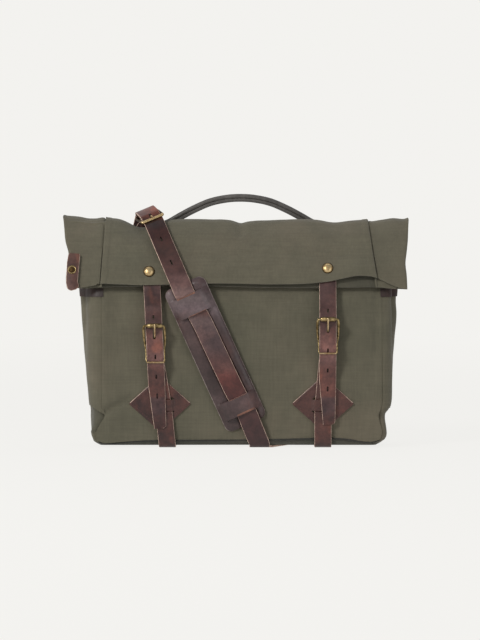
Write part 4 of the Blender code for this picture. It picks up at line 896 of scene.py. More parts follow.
def gusset_canvas(side):
    """A gusset from the base's rim to the fold, and on round the flap's end."""
    grid, share = side_grid(TUBE_ROWS, side)
    rim = base_rim(side)
    first = int(np.searchsorted(BODY_HEIGHTS, RIM_ROW))
    for r in range(first, ON_FLAP):
        z = BODY_HEIGHTS[r]
        if z < RIM_TOP:
            blend_in = 1 - float(smoothstep(BODY_HEIGHTS[first], RIM_TOP, z))
            grid[r] = at_heights(side, z + (rim - BODY_HEIGHTS[first]) * blend_in)
    grid, share = grid[first:], share[first:]
    flap, down = TUBE_FLAP[first:], TUBE_DOWN[first:]
    normals = outward(grid, (SIGNS[side], 0, 0))
    z = grid[..., 2]
    rise = np.full(z.shape, -0.0004) - 0.0008 * flap
    tuck = 0.0005 + 0.0012 * flap
    rise[:, :2] -= tuck
    rise[:, -2:] -= tuck
    body = 1 - flap
    rise += side_folds(side, share, z) * body
    rise += groove(z - rim[None] - 0.0016, 0.0012, 0.0007) * body
    rise -= 0.0005 * flap
    outer = drape(grid, normals, rise)
    x = outer[..., 0]
    on = slice(ON_FLAP - first, None)
    hem = outer_hem(x[on]) * share[on] + inner_hem(x[on]) * (1 - share[on])
    outer[on] = hem_shift(outer[on], down[on], hem)
    name = SIDES[side]
    return wall(f"canvas_gusset_{name}", outer, normals, [CANVAS_MAT, CANVAS_MAT],
                (f"{name}_gusset", f"flap_{name}_wing"), GUSSET_CANVAS)


def base_canvas():
    """The base: a shallow bowl whose rim is high on the sides and low at the front and back."""
    shares = np.linspace(0, 1, 14)
    rims = [base_rim(0), base_rim(1)]
    panel_x = panel_columns((float(left_corner(FOOT_Z)), float(right_corner(FOOT_Z))))
    columns = [("front", x, FOOT_Z) for x in panel_x]
    columns += [(1, c, rims[1][c]) for c in range(1, GUSSET_COLS - 1)]
    columns += [("back", x, FOOT_Z) for x in panel_x[::-1]]
    columns += [(0, c, rims[0][c]) for c in range(GUSSET_COLS - 2, 0, -1)]
    grid = np.zeros((len(shares), len(columns), 3))
    for c, (kind, where, rim) in enumerate(columns):
        heights = rim + (BASE_LOW - rim) * shares
        if kind in ("front", "back"):
            middle, half = (panel_x[0] + panel_x[-1]) / 2, (panel_x[-1] - panel_x[0]) / 2
            spread = abs((where - middle) / half) ** 8
            ends = left_corner(heights) if where < middle else right_corner(heights)
            xs = where + (ends - (panel_x[0] if where < middle else panel_x[-1])) * spread
            skin = front_y if kind == "front" else back_y
            grid[:, c] = np.column_stack([xs, skin(heights), heights])
        else:
            line = LEVEL_SIDES[kind][0][:, where]
            grid[:, c] = np.column_stack([np.interp(heights, LEVELS, line[:, k]) for k in (0, 1)] + [heights])
    centre = grid.mean(axis=1, keepdims=True)
    flat = (grid - centre) * np.array([1, 1, 0])
    reach = np.linalg.norm(flat, axis=-1, keepdims=True)
    ring = np.concatenate([grid[:, -1:], grid, grid[:, :1]], axis=1)
    normals = grid_normals(ring)[:, 1:-1]
    normals *= np.sign((normals * flat).sum(-1, keepdims=True))
    x, z = grid[..., 0], grid[..., 2]
    low_round = 0.0040 * smoothstep(0.0110, 0.0030, z) ** 1.5
    grid = grid - flat / reach * low_round[..., None]
    soft = 0.0008 * ripple(grid, 0.045, 11) + 0.0004 * ripple(grid, 0.016, 12)
    fade = smoothstep(0.006, 0.02, z)
    ends = smoothstep(0.016, 0.034, abs(BODY_Y - grid[..., 1]))       # 1 beside the front and back, 0 on the side
    on_left = smoothstep(-0.150, -0.162, x)
    on_right = smoothstep(0.165, 0.176, x)
    hollow = smoothstep(0.018, 0.030, z) * on_left
    rise = -0.0034 * hollow * ends
    rise -= 0.0007 * (on_left + on_right) * smoothstep(0.036, 0.046, z)
    rise += groove(z - 0.040 + 0.10 * (BODY_Y - 0.045 - grid[..., 1]), 0.0045, 0.0014) * on_right
    outer = settle_foot(grid + normals * (rise + soft * fade)[..., None])
    inner = outer - normals * BASE_CANVAS
    inner[..., 2] = np.maximum(inner[..., 2], outer[-1, :, 2].mean() + BASE_CANVAS)
    # painted shade: cells of the hollow at the base's left corners take the darker recess canvas
    tones = np.where(hollow * ends > 0.3, 2, 0)
    # painted shade: cells below the foot seam take the darker foot canvas
    tones[outer[..., 2] < foot_line(x) - 0.0010] = 3
    return bowl("canvas_base", outer, inner, CANVAS_MATS + [RECESS_SHADE_MAT, FOOT_SHADE_MAT], "bag", ("base_panel",), tones)


def bowl(name, outer, inner, mats, body, replaces, tones):
    """A closed ring of columns with a flat floor, as a wall of real thickness."""
    rows, cols = outer.shape[:2]
    verts = np.vstack([outer.reshape(-1, 3), inner.reshape(-1, 3)])
    far = rows * cols
    faces, marks = [], []
    for r in range(rows - 1):
        for c in range(cols):
            d = (c + 1) % cols
            quad = (r * cols + c, r * cols + d, (r + 1) * cols + d, (r + 1) * cols + c)
            faces.append(quad)
            faces.append(tuple(far + i for i in reversed(quad)))
            marks += [int(tones[r, c]), 1]
    for c in range(cols):
        d = (c + 1) % cols
        faces.append((c, far + c, far + d, d))
        marks.append(0)
    last = (rows - 1) * cols
    faces.append(tuple(last + c for c in range(cols)))
    faces.append(tuple(far + last + c for c in reversed(range(cols))))
    marks += [0, 1]
    return add_piece(name, verts, faces, mats, body, replaces, face_mats=marks, sharp=50)


def piping(name, skin_y, outward_sign, node):
    """The dark cord sewn into the seam along the foot of a panel."""
    middle = [(x, float(foot_line(x)) - 0.0002) for x in np.linspace(-0.1700, 0.1775, 24)]
    line = route([(-0.1752, 0.0104)] + middle + [(0.1822, 0.0120)], 4)
    path = np.column_stack([line[:, 0], skin_y(line[:, 1]) + outward_sign * 0.0001, line[:, 1]])
    path[:, 1] += 0.0003 * ripple(path, 0.012, 22)
    path[:, 1] -= outward_sign * 0.0016 * smoothstep(0.174, 0.180, abs(line[:, 0]))
    radius = 0.00125 + 0.00015 * ripple(path, 0.02, 23)
    radius[[0, -1]] = 0.0005
    return tube(name, path, radius, PIPING_MAT, "bag", (node,), across=(0, 1, 0), around=12)


front_canvas()
back_canvas()
for side in (0, 1):
    gusset_canvas(side)
base_canvas()
piping("front_piping", front_y, -1, "base_piping_front")
piping("back_piping", back_y, 1, "base_piping_back")
board_mats = frame["nodes"]["base_board"].data.materials
board_mats.clear()
board_mats.append(BOARD_MAT)


# ---------------------------------------------------------------- leather on the front
CLOSURE_X = (((-0.1055, 0.235), (-0.1050, 0.204), (-0.1010, 0.130), (-0.0965, 0.024)),
             ((0.1145, 0.235), (0.1145, 0.138), (0.1140, 0.029)))
LOWER_X = (((-0.1010, 0.130), (-0.0994, 0.104), (-0.0905, 0.050), (-0.0855, 0.0)),
           ((0.1145, 0.138), (0.1142, 0.112), (0.1085, 0.050), (0.1085, 0.0)))
BUCKLE_BAR_Z = (0.130, 0.138)
HOLE_PITCH = 0.0245
PRONG_HOLE = 0.0083            # the used hole above the hidden bar
HOLE_WIDTH = 0.0021
BUCKLE_BAR_DEPTH = 0.0569
BILLET_DEPTH = 0.0625
TAIL_DEPTH = 0.0567
ROLLER_DEPTH = 0.06675
KEEPER_DEPTH = 0.06535
PATCH_DEPTH = 0.0513
UNDER_BRIDGE_DEPTH = 0.0515
OVER_PATCH_DEPTH = 0.0538
DIAMOND_X = (-0.0950, 0.1085)
DIAMOND_Z = 0.055
BUCKLE_HALF = 0.0132           # half width of the buckle's frame
KEEPER_HALF = 0.0116           # half width over the keeper
BUCKLE_RISE = 0.0228           # from the hidden bar up to the roller
KEEPER_DROP = (0.0228, 0.0196)         # from the hidden bar down to the keeper, left and right
BAR_WIRE = 0.0014
TURN_RADIUS = BAR_WIRE + 0.0003 + LEATHER / 2   # a strap's middle round the hidden bar
LEATHER_MATS = [STRAP_MAT, EDGE_MAT]
PATCH_MATS = [PATCH_MAT, EDGE_MAT]


def flap_face(z, depth=0.0):
    """A point under the flap's outer face at a height, and the face's outward direction."""
    lower = FLAP_LINE[FLAP_LINE[:, 0] > 0.002]
    along = np.gradient(lower, axis=0)
    slope = unit([np.interp(-z, -lower[:, 1], along[:, k]) for k in (0, 1)])
    out = np.array([0.0, slope[1], slope[0]])
    if out[1] > 0:
        out = -out
    y = at_depth(float(np.interp(-z, -lower[:, 1], lower[:, 0])))
    return np.array([0.0, y, z]) - out * depth, out


def punched(piece, path, holes):
    """Cuts oblong holes, each a height, a length and a width, through a strap."""
    _, _, normals = frames(path)
    order = np.argsort(path[:, 2])
    cutters = []
    for k, (z, length, width) in enumerate(holes):
        at, out = (np.array([np.interp(z, path[order, 2], line[order, i]) for i in range(3)])
                   for line in (path, normals))
        down = unit(np.cross(unit(out), [1, 0, 0]))
        cutters.append(slot_cutter(f"hole_{k}", at, down, (1, 0, 0), out, length, width, 0.004))
    return cut(piece, cutters)


def closure_strap(side):
    """From inside the flap's mouth, through the buckle, to the tapered tail."""
    name = SIDES[side]
    bar = BUCKLE_BAR_Z[side]
    stations = CLOSURE_X[side]
    tip = stations[-1][1]
    points = [tuple(flap_face(z, 0.0043)[0][1:]) for z in (0.232, 0.220, 0.208)]
    points += in_front((0.0495, 0.196), (0.0535, bar + 0.044), (0.0595, bar + 0.031), (BILLET_DEPTH, bar + 0.021),
                       (BILLET_DEPTH, bar), (BILLET_DEPTH, bar - 0.026), (0.0600, bar - 0.036),
                       (TAIL_DEPTH + 0.0003, bar - 0.047), (TAIL_DEPTH, 0.070), (TAIL_DEPTH, 0.050),
                       (TAIL_DEPTH, tip))
    path = np.array([(x_along(stations, z), y, z) for y, z in route(points, 10)])
    rise = path[:, 2] - tip
    width = STRAP_WIDTH * np.interp(rise, [0, 0.0004, 0.0012, 0.0026, 0.0060, 0.055],
                                    [0.52, 0.60, 0.67, 0.71, 0.745, 1.0])
    shift = (STRAP_WIDTH - width) * 0.34 * smoothstep(0.0, 0.003, rise)
    lying = smoothstep(0.085, 0.060, path[:, 2])
    path[:, 1] -= 0.0006 * lying * np.sin(path[:, 2] * 160)
    piece = strap(f"{name}_closure_leather", path, width, LEATHER, LEATHER_MATS, None, (f"{name}_closure_strap",),
                  shift=shift)
    used = bar + PRONG_HOLE
    last, last_length = ((0, 0.0066), (0.001, 0.0064))[side]
    holes = [(used + k * HOLE_PITCH, 0.0056, HOLE_WIDTH) for k in (1, -1, -2)]
    holes += [(bar + 0.0118, 0.0118, 0.0038), (used - 3 * HOLE_PITCH + last, last_length, HOLE_WIDTH)]
    punched(piece, path, holes)
    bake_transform(piece)
    return piece


def lower_strap(side):
    """From the back, under the base, through the patch and round the buckle's hidden bar."""
    name = SIDES[side]
    bar = BUCKLE_BAR_Z[side]
    stations = LOWER_X[side]
    bar_y = at_depth(BUCKLE_BAR_DEPTH)
    under = LEATHER / 2
    back = in_front((-0.0500, 0.0068), (-0.0486, 0.0030), (-0.0450, under), (-0.040, under), (-0.020, under))
    front = in_front((0.020, under), (0.040, under), (0.0450, under), (0.0490, 0.0024), (0.0515, 0.0056),
                     (0.0530, 0.0110), (OVER_PATCH_DEPTH, 0.020), (OVER_PATCH_DEPTH, 0.034),
                     (OVER_PATCH_DEPTH, 0.0425), (UNDER_BRIDGE_DEPTH, 0.0485), (UNDER_BRIDGE_DEPTH, 0.0575),
                     (OVER_PATCH_DEPTH, 0.0637), (OVER_PATCH_DEPTH, 0.074), (OVER_PATCH_DEPTH, 0.095),
                     (0.0539, bar - 0.012))
    loop = arc((bar_y, bar), TURN_RADIUS, range(0, 181, 12))
    free_end = route([(bar_y - TURN_RADIUS + 0.0002, bar - 0.008), (bar_y - 0.0012, bar - 0.016),
                      (bar_y + 0.0002, bar - 0.022)], 5)
    line = np.vstack([route(back, 5), route(front, 6), loop, free_end])
    path = np.array([(x_along(stations, z) if y < BODY_Y else stations[-1][0], y, z) for y, z in line])
    width = STRAP_WIDTH - 0.0014 * smoothstep(bar - 0.032, bar - 0.022, line[:, 1])
    piece = strap(f"{name}_lower_leather", path, width, LEATHER, PATCH_MATS, "bag", (f"{name}_lower_strap",))
    opening = (float(x_along(stations, bar)), bar_y - 0.003, bar + 0.0012)
    return cut(piece, [slot_cutter("prong_opening", opening, (0, 0, 1), (1, 0, 0), (0, 1, 0),
                                   0.0110, 0.0036, 0.0090)])


SLITS = ((0.0446, 0.0462), (0.0600, 0.0616))     # low and high edge of the patch's two slits
SLIT_CORNERS = (0.0432, 0.0630)                  # their ends reach a little further


def diamond_outline(z, cx, half_x, half_z):
    """Left and right edge of a diamond with softened corners, at a height."""
    soft = 0.0012
    reach = half_x * (1 - abs(z - DIAMOND_Z) / half_z)
    reach = min(max(math.hypot(reach, soft), soft), half_x - 0.0008)
    return reach, cx - reach, cx + reach


def diamond_patch(side):
    """A square patch set on its corner; the lower strap passes behind the bridge between its slits."""
    name = SIDES[side]
    cx = DIAMOND_X[side]
    half_x, half_z, window = 0.0390, 0.0345, 0.0138
    strap_x = float(x_along(LOWER_X[side], 0.053))
    (low_edge, bridge_low), (bridge_high, high_edge) = SLITS
    heights = np.concatenate([np.linspace(DIAMOND_Z - half_z, 0.0420, 16), SLIT_CORNERS[:1], SLITS[0],
                              np.linspace(bridge_low + 0.0004, bridge_high - 0.0004, 9), SLITS[1],
                              SLIT_CORNERS[1:], np.linspace(0.0642, DIAMOND_Z + half_z, 16)])
    margin = np.array([0, 0.045, 0.09, 0.2, 0.4, 0.6, 0.8, 0.93])
    across = np.array([0, 0.06, 0.12, 0.16, 0.3, 0.5, 0.7, 0.84, 0.88, 0.94, 1.0])
    outer, inner = [], []
    for z in heights:
        reach, left, right = diamond_outline(z, cx, half_x, half_z)
        inside = min(window, 0.62 * reach)
        mid = cx + (strap_x - cx) * min(1.0, reach / 0.028)
        lo, hi = mid - inside, mid + inside
        xs = np.concatenate([left + (lo - left) * margin, lo + (hi - lo) * across,
                             right - (right - hi) * margin[::-1]])
        bridge = bridge_low - 0.0001 <= z <= bridge_high + 0.0001
        lift = 0.0029 * smoothstep(0, 0.0030, inside + 0.0004 - abs(xs - mid)) * bridge
        rounding = 0.0005 * (1 - smoothstep(0, 0.0012, np.minimum(xs - left, right - xs)))
        depth = PATCH_DEPTH + lift
        level = np.full(len(xs), z)
        outer.append(np.column_stack([xs, at_depth(depth + 0.0010 - rounding), level]))
        inner.append(np.column_stack([xs, at_depth(depth - 0.0010), level]))
    outer, inner = np.array(outer), np.array(inner)
    outer[..., 1] -= 0.4 * np.clip(0.0008 * ripple(outer, 0.03, 31 + side), 0, 1)
    keep = np.ones((len(heights) - 1, outer.shape[1] - 1), bool)
    worn = np.zeros(keep.shape, int)
    for r, middle in enumerate((heights[:-1] + heights[1:]) / 2):
        if low_edge < middle < bridge_low or bridge_high < middle < high_edge:
            keep[r, 8:18] = False
        elif SLIT_CORNERS[0] < middle < low_edge or high_edge < middle < SLIT_CORNERS[1]:
            keep[r, 9:17] = False
        # painted highlight: the pale raw-edge colour goes only on the outer cells of the upper sides, where light
        # from above catches the edges
        if middle > DIAMOND_Z + 0.002:
            worn[r, [0, -1]] = 1
    shell(f"{name}_diamond_leather", outer, inner, PATCH_MATS + [STRAP_MAT], "bag", (f"{name}_diamond_patch",),
          keep=keep, cell_marks=worn)
    half_x, half_z = half_x - 0.0042, half_z - 0.0038
    corners = [(cx + u * half_x, DIAMOND_Z + v * half_z) for u, v in ((-1, 0), (0, 1), (1, 0), (0, -1), (-1, 0))]
    path = [(a[0] + (b[0] - a[0]) * t, a[1] + (b[1] - a[1]) * t) for a, b in zip(corners, corners[1:])
            for t in np.linspace(0, 1, 12, endpoint=False)] + corners[:1]
    stitches(f"{name}_diamond_stitches", [(x, at_depth(PATCH_DEPTH + 0.00105), z) for x, z in path], (0, -1, 0),
             LEATHER_THREAD_MAT, "bag", pitch=0.0031, length=0.0021, radius=0.00028)


def buckle_frame(side):
    """The wire frame, the strap bar hidden behind the strap, and the flat keeper bar."""
    name = SIDES[side]
    bar = BUCKLE_BAR_Z[side]
    top, foot = bar + BUCKLE_RISE, bar - KEEPER_DROP[side]
    half, low = BUCKLE_HALF, KEEPER_HALF
    # half width, depth and height down the right side of the frame
    edge = [(half - 0.0034, ROLLER_DEPTH, top + 0.0002), (half - 0.0010, ROLLER_DEPTH, top - 0.0010),
            (half, ROLLER_DEPTH - 0.0012, top - 0.0050), (half, 0.0615, top - 0.0130),
            (half - 0.0004, 0.0590, bar + 0.0030), (low + 0.0006, 0.0592, bar - 0.0020),
            (low, 0.0610, bar - 0.0065), (low - 0.0001, KEEPER_DEPTH - 0.0014, foot + 0.0050),
            (low - 0.0005, KEEPER_DEPTH, foot + 0.0010), (low - 0.0022, KEEPER_DEPTH, foot)]
    spots = [(0.0, ROLLER_DEPTH, top), (0.0093, ROLLER_DEPTH, top), *edge, (0.004, KEEPER_DEPTH, foot),
             (-0.004, KEEPER_DEPTH, foot), *((-x, d, z) for x, d, z in reversed(edge)),
             (-0.0093, ROLLER_DEPTH, top)]
    loop = route([(x, at_depth(d), z) for x, d, z in spots], 6, closed=True)
    loop[:, 0] += x_along(CLOSURE_X[side], loop[:, 2])
    radius = np.interp(loop[:, 2], [foot, foot + 0.004, bar - 0.006, bar + 0.004, top - 0.003, top],
                       [0.00085, 0.00075, 0.0009, 0.0014, 0.0016, 0.0015])
    tube(f"{name}_buckle_wire", loop, radius, BRASS_MAT, "bag", (f"{name}_buckle_frame",),
         across=(0, 0.6, 0.8), closed=True)
    cx = float(x_along(CLOSURE_X[side], bar))
    line = [(cx + u * (half - 0.0004), at_depth(BUCKLE_BAR_DEPTH), bar) for u in (-1, -0.5, 0, 0.5, 1)]
    tube(f"{name}_buckle_bar", line, BAR_WIRE, BRASS_MAT, "bag", across=(0, 0, 1))
    cx = float(x_along(CLOSURE_X[side], foot))
    line = [(cx + u, at_depth(KEEPER_DEPTH + 0.0002), foot) for u in (-0.0106, -0.006, 0.0, 0.006, 0.0106)]
    strap(f"{name}_keeper_bar", route(line, 5), 0.0021, 0.0020, [BRIGHT_BRASS_MAT, BRIGHT_BRASS_MAT], "bag",
          across=(0, 0, 1), crown=0, chamfer=0.0006)


def prong_and_roller(side):
    """The prong curls round the hidden bar and rests on the roller."""
    name = SIDES[side]
    bar = BUCKLE_BAR_Z[side]
    top = bar + BUCKLE_RISE
    cx = float(x_along(CLOSURE_X[side], bar))
    curl = arc((at_depth(BUCKLE_BAR_DEPTH), bar), 0.00275, range(180, 431, 20))
    arm = in_front((0.0604, bar + 0.0052), (BILLET_DEPTH, bar + 0.0086), (0.0662, bar + 0.0138),
                   (0.0696, top - 0.0040), (0.0709, top - 0.0006), (0.0709, top + 0.0018))
    path = [(cx, y, z) for y, z in np.vstack([curl, route(arm, 6)])]
    radius = np.full(len(path), 0.00120)
    radius[-1] = 0.0007
    tube(f"{name}_prong_wire", path, radius, BRIGHT_BRASS_MAT, f"{name}_prong", (f"{name}_buckle_prong",),
         around=12)
    half = [(0.00185, 0.0088), (0.0024, 0.0089), (0.00275, 0.0085)]
    ring = [(r, -x) for r, x in half] + half[::-1]
    pipe(f"{name}_roller_pipe", ring, (cx, at_depth(ROLLER_DEPTH), top), BRASS_MAT, f"{name}_roller",
         (f"{name}_buckle_roller",))


def flap_rivet(side):
    """A domed rivet through the flap above the closure strap, on a thin dark ring of painted shadow where the
    canvas is pressed in round the cap.
    """
    name = SIDES[side]
    x, z = RIVETS[side]
    at, out = flap_face(z)
    at = at - out * 0.0004
    at[0] = x
    # a thin dark ring just wider than the cap: painted shadow round the rivet
    shadow_ring = [(0, 0), (0.0070, 0), (0.0070, 0.0004), (0.0066, 0.0007), (0, 0.0007)]
    turned(f"{name}_rivet_shadow_ring", shadow_ring, at, out, TARNISH_AND_SHADE_MAT, "flap")
    turned(f"{name}_rivet_cap", cap_profile(0.0062, 0.0036), at, out, CAP_MAT, "flap", (f"{name}_flap_rivet",))


for side in (0, 1):
    for make in (closure_strap, lower_strap, diamond_patch, buckle_frame, prong_and_roller, flap_rivet):
        make(side)


# ---------------------------------------------------------------- shoulder strap
STRAP_FOOT_X = 0.0293
SHOULDER_X = ((-0.1045, 0.2853), (-0.0625, 0.190), (-0.0475, 0.168), (0.0020, 0.064), (0.0135, 0.044),
              (STRAP_FOOT_X, 0.005))
SHOULDER_SLOPE = 0.4553
FRONT_BAR = np.array([-0.1045, at_depth(0.0180), 0.2853])
REAR_BAR = np.array([-0.1125, at_depth(-0.0080), 0.2905])
BAR_LEAN = (0.905, 0.204, 0.374)
SHOULDER_MATS = [SHOULDER_MAT, EDGE_MAT]
FRONT_STEPS = 140              # points of the strap's path before it turns down the back
PAD_HALF_LENGTH, PAD_HALF_WIDTH, PAD_CORNER = 0.097, 0.027, 0.009
PAD_THICKNESS = 0.0050
SLOT_GAP = 0.0013              # half the height of the slots that the strap goes through
BRIDGE_DEPTH = 0.0645
FRONT_ROUTE = [(0.0470, 0.0012), (0.0500, 0.0040), (0.0519, 0.0090), (0.0562, 0.020), (0.0590, 0.030),
               (0.0604, 0.045), (0.0613, 0.070), (0.0613, 0.120), (0.0613, 0.160), (0.0612, 0.190),
               (0.0604, 0.206), (0.0548, 0.224), (0.0462, 0.242), (0.0372, 0.2580), (0.0285, 0.2700),
               (0.0225, 0.2770)]


def toward_bar(heights, low, rise):
    """Across directions that turn from level to the top buckle's lean, above a height."""
    share = np.clip((heights - low) / rise, 0, 1)[:, None]
    return (1 - share) * np.array([1.0, 0, 0]) + share * np.array(BAR_LEAN)


def level_on_floor(heights):
    """1 where a strap lies under the base and 0 where it runs up a side."""
    return np.clip(1 - (heights - 0.012) / 0.03, 0, 1)


def top_frame():
    """The top buckle's own axes: across its bars, from front bar to rear bar, and up."""
    along = REAR_BAR - FRONT_BAR
    length = np.linalg.norm(along)
    along = along / length
    across = np.array(BAR_LEAN)
    across = unit(across - along * (along @ across))
    return across, along, np.cross(across, along), length


def top_spot(u, v, lift):
    """A point in the top buckle's axes: across, towards the rear bar, and up."""
    across, along, up, _ = top_frame()
    return FRONT_BAR + across * u + along * v + up * lift


def shoulder_strap():
    """The long strap from under the base, over the pad and through the top buckle."""
    across_bar, along_bar, up_bar, length = top_frame()
    points = [(float(x_along(SHOULDER_X, z)), at_depth(d), z) for d, z in FRONT_ROUTE]
    over_bars = ((0.0, -0.0032), (0.0050, -0.0006), (0.0095, 0.0036), (0.015, 0.0050), (0.021, 0.0058),
                 (length, 0.0061), (length + 0.0050, 0.0050))
    points += [tuple(top_spot(0, v, lift)) for v, lift in over_bars]
    points += [(-0.1148, at_depth(-0.0172), 0.2905), (-0.1158, at_depth(-0.0184), 0.2835),
               (-0.1174, at_depth(-0.0180), 0.2760), (-0.1194, at_depth(-0.0186), 0.2680),
               (-0.1212, at_depth(-0.0216), 0.2600)]
    path = route(points, 8)
    heights = path[:, 2]
    across = toward_bar(heights, 0.262, 0.022)
    level = level_on_floor(heights)
    width = np.full(len(path), SHOULDER_WIDTH)
    width[-12:] *= np.linspace(0.98, 0.55, 12)
    piece = strap("shoulder_leather", path, width, LEATHER, SHOULDER_MATS, None, ("shoulder_strap_front",),
                  across, level)
    _, _, normals = frames(path, across, level=level)
    cutters = [slot_cutter("top_opening", top_spot(0, 0.0066, 0.001), along_bar, across_bar, up_bar,
                           0.0062, 0.0034, 0.009)]
    for k, z in enumerate((0.259, 0.230)):
        near = int(np.argmin(abs(heights[:FRONT_STEPS] - z)))
        down = path[near + 1] - path[near - 1]
        side = np.cross(unit(down), normals[near])
        cutters.append(slot_cutter(f"shoulder_hole_{k}", path[near], down, side, normals[near],
                                   0.0070, 0.0020, 0.004))
    cut(piece, cutters)
    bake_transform(piece)
    return piece


def pad_depth(z):
    """Depth of the pad's rear face, which lies over the flap's edge at its top."""
    return float(np.interp(z, [0.015, 0.034, 0.060, 0.110, 0.190, 0.206, 0.218, 0.230],
                           [0.0496, 0.0512, 0.0535, 0.0543, 0.0543, 0.0530, 0.0490, 0.0440]))


def shoulder_pad():
    """Padded leather with two bridges that hold the strap against it."""
    centre = np.array([-0.0258, 0.117])
    down = unit([SHOULDER_SLOPE, -1.0])
    over = np.array([-down[1], down[0]])
    half_l, half_w, radius, gap = PAD_HALF_LENGTH, PAD_HALF_WIDTH, PAD_CORNER, SLOT_GAP
    spots = ((-0.0625, 0.1905), (-0.0475, 0.1675), (0.0020, 0.0645), (0.0135, 0.0440))
    slots = [(np.array(spot) - centre) @ down for spot in spots]
    steps = half_l - radius + radius * np.sin(np.linspace(0, math.pi / 2, 8))
    lengths = list(-steps[::-1]) + list(np.linspace(-half_l + radius, half_l - radius, 66)[1:-1]) + list(steps)
    lengths = [s for s in lengths if all(abs(s - t) > 0.0018 for t in slots)]
    for t in slots:
        lengths += [t - gap, t - 0.45 * gap, t + 0.45 * gap, t + gap]
    lengths = np.array(sorted(lengths))
    slot_half = 0.0150
    outer, inner = [], []
    for s in lengths:
        past = max(0.0, abs(s) - (half_l - radius))
        wide = half_w - radius + math.sqrt(max(radius * radius - past * past, 1e-9))
        inside = min(slot_half, 0.6 * wide)
        share = np.array([0, 0.025, 0.07, 0.16, 0.30, 0.5, 0.7, 0.86])
        middle = np.linspace(-1, 1, 21) * inside
        ws = np.concatenate([-wide + (wide - inside) * share, middle, (wide - (wide - inside) * share)[::-1]])
        line_x = float(x_along(SHOULDER_X, (centre + down * s)[1]))
        offset = (line_x - (centre + down * s)[0]) * abs(down[1])
        ws = ws + offset * np.clip(1 - (abs(ws) - inside) / (wide - inside), 0, 1) * (wide > 0.02)
        on_bridge = slots[0] < s < slots[1] or slots[2] < s < slots[3]
        from_end = min(abs(s - t) for t in slots)
        lift = smoothstep(0.0262, 0.0128, abs(ws)) * on_bridge
        edge = np.minimum(wide - abs(ws), half_l - abs(s))
        thick = PAD_THICKNESS - 0.0021 * (1 - smoothstep(0.0, 0.0065, edge))
        thick -= 0.0010 * (1 - smoothstep(0.0, 0.0014, edge))
        sunk = 0.0011 * smoothstep(0.0145, 0.0118, abs(ws - offset)) * (not on_bridge)
        lip = 0.0006 * smoothstep(0.005, 0.001, from_end) * smoothstep(0.016, 0.012, abs(ws - offset))
        row_out, row_in = [], []
        for w, up, t, low, roll in zip(ws, lift, thick, sunk, lip):
            x, z = centre + down * s + over * w
            rear = pad_depth(z)
            front = rear + t - low
            bridge_front = max(front, BRIDGE_DEPTH)
            front = front * (1 - up) + bridge_front * up + roll * up
            rear_here = rear * (1 - up) + (bridge_front - 0.0018) * up
            row_out.append((x, at_depth(front), z))
            row_in.append((x, at_depth(rear_here), z))
        outer.append(row_out)
        inner.append(row_in)
    outer, inner = np.array(outer), np.array(inner)
    outer[..., 1] -= 0.0005 * ripple(outer, 0.018, 41) + 0.0003 * ripple(outer, 0.007, 42)
    keep = np.ones((outer.shape[0] - 1, outer.shape[1] - 1), bool)
    worn = np.zeros(keep.shape, int)
    worn[:, [0, -1]] = 1
    for r, s in enumerate((lengths[:-1] + lengths[1:]) / 2):
        from_slot = min(abs(s - t) for t in slots)
        if from_slot < 0.44 * gap:
            keep[r, 9:27] = False
        if from_slot < 1.6 * gap:
            worn[r, 10:26] = 2
    piece = shell("pad_cushion", outer, inner, [PAD_MAT, PAD_EDGE_MAT, LIP_MAT, PAD_MAT], "shoulder_strap",
                  ("shoulder_pad",), keep=keep, sharp=60, cell_marks=worn)
    return piece


def strap_rear():
    """The strap under the base to the right anchor, and from the left anchor up to the fold."""
    under = LEATHER / 2
    start = STRAP_FOOT_X + 0.0030
    ground = [(0.0440, under), (0.022, under), (0.0, under), (-0.022, under), (-0.0430, under),
              (-0.0478, 0.0020), (-0.0507, 0.0050), (-0.0520, 0.0110)]
    points = [(start + SHOULDER_SLOPE * (0.0440 - d), at_depth(d), z) for d, z in ground]
    x0 = points[-1][0]
    lift = SKIN_GAP + LEATHER / 2 + 0.0010
    over_band = 0.0026
    for z in (0.030, 0.060, 0.090, 0.120, 0.150, 0.168, 0.184):
        points.append((x0 + (z - 0.011) * 0.52, back_y(z) + lift + over_band * (z > 0.16), z))
    path = route(points, 6)
    strap("strap_under_leather", path, SHOULDER_WIDTH, LEATHER, SHOULDER_MATS, "bag",
          ("shoulder_strap_under",), level=level_on_floor(path[:, 2]))
    rear = ((-0.1640, over_band, 0.186), (-0.1580, over_band, 0.200), (-0.1490, 0, 0.222),
            (-0.1400, 0.0002, 0.242), (-0.1330, 0.0008, 0.256), (-0.1285, 0.0014, 0.2645))
    path = route([(x, back_y(z) + lift + more, z) for x, more, z in rear], 6)
    strap("strap_rear_leather", path, SHOULDER_WIDTH, LEATHER, SHOULDER_MATS, "bag", ("shoulder_strap_rear",))


def anchor_band(side):
    """A leather band round the gusset that holds one end of the shoulder strap, painted dark for the shadow under
    the flap.
    """
    name = SIDES[side]
    toward = (SIGNS[side], 0, 0)
    low, high = 0.1880, 0.1980
    rows = body_rows([low, low + 0.001, (low + high) / 2, high - 0.001, high])
    grid, share = side_grid(rows, side, 36)
    grid = grid + outward(grid, toward) * side_folds(side, share, grid[..., 2])[..., None]
    normals = outward(grid, toward)
    return shell(f"{name}_anchor_leather", grid + normals * 0.0010, grid - normals * 0.0004,
                 [ANCHOR_SHADE_MAT, SHADE_EDGE_MAT, ANCHOR_SHADE_MAT], "bag", (f"{name}_anchor_band",))


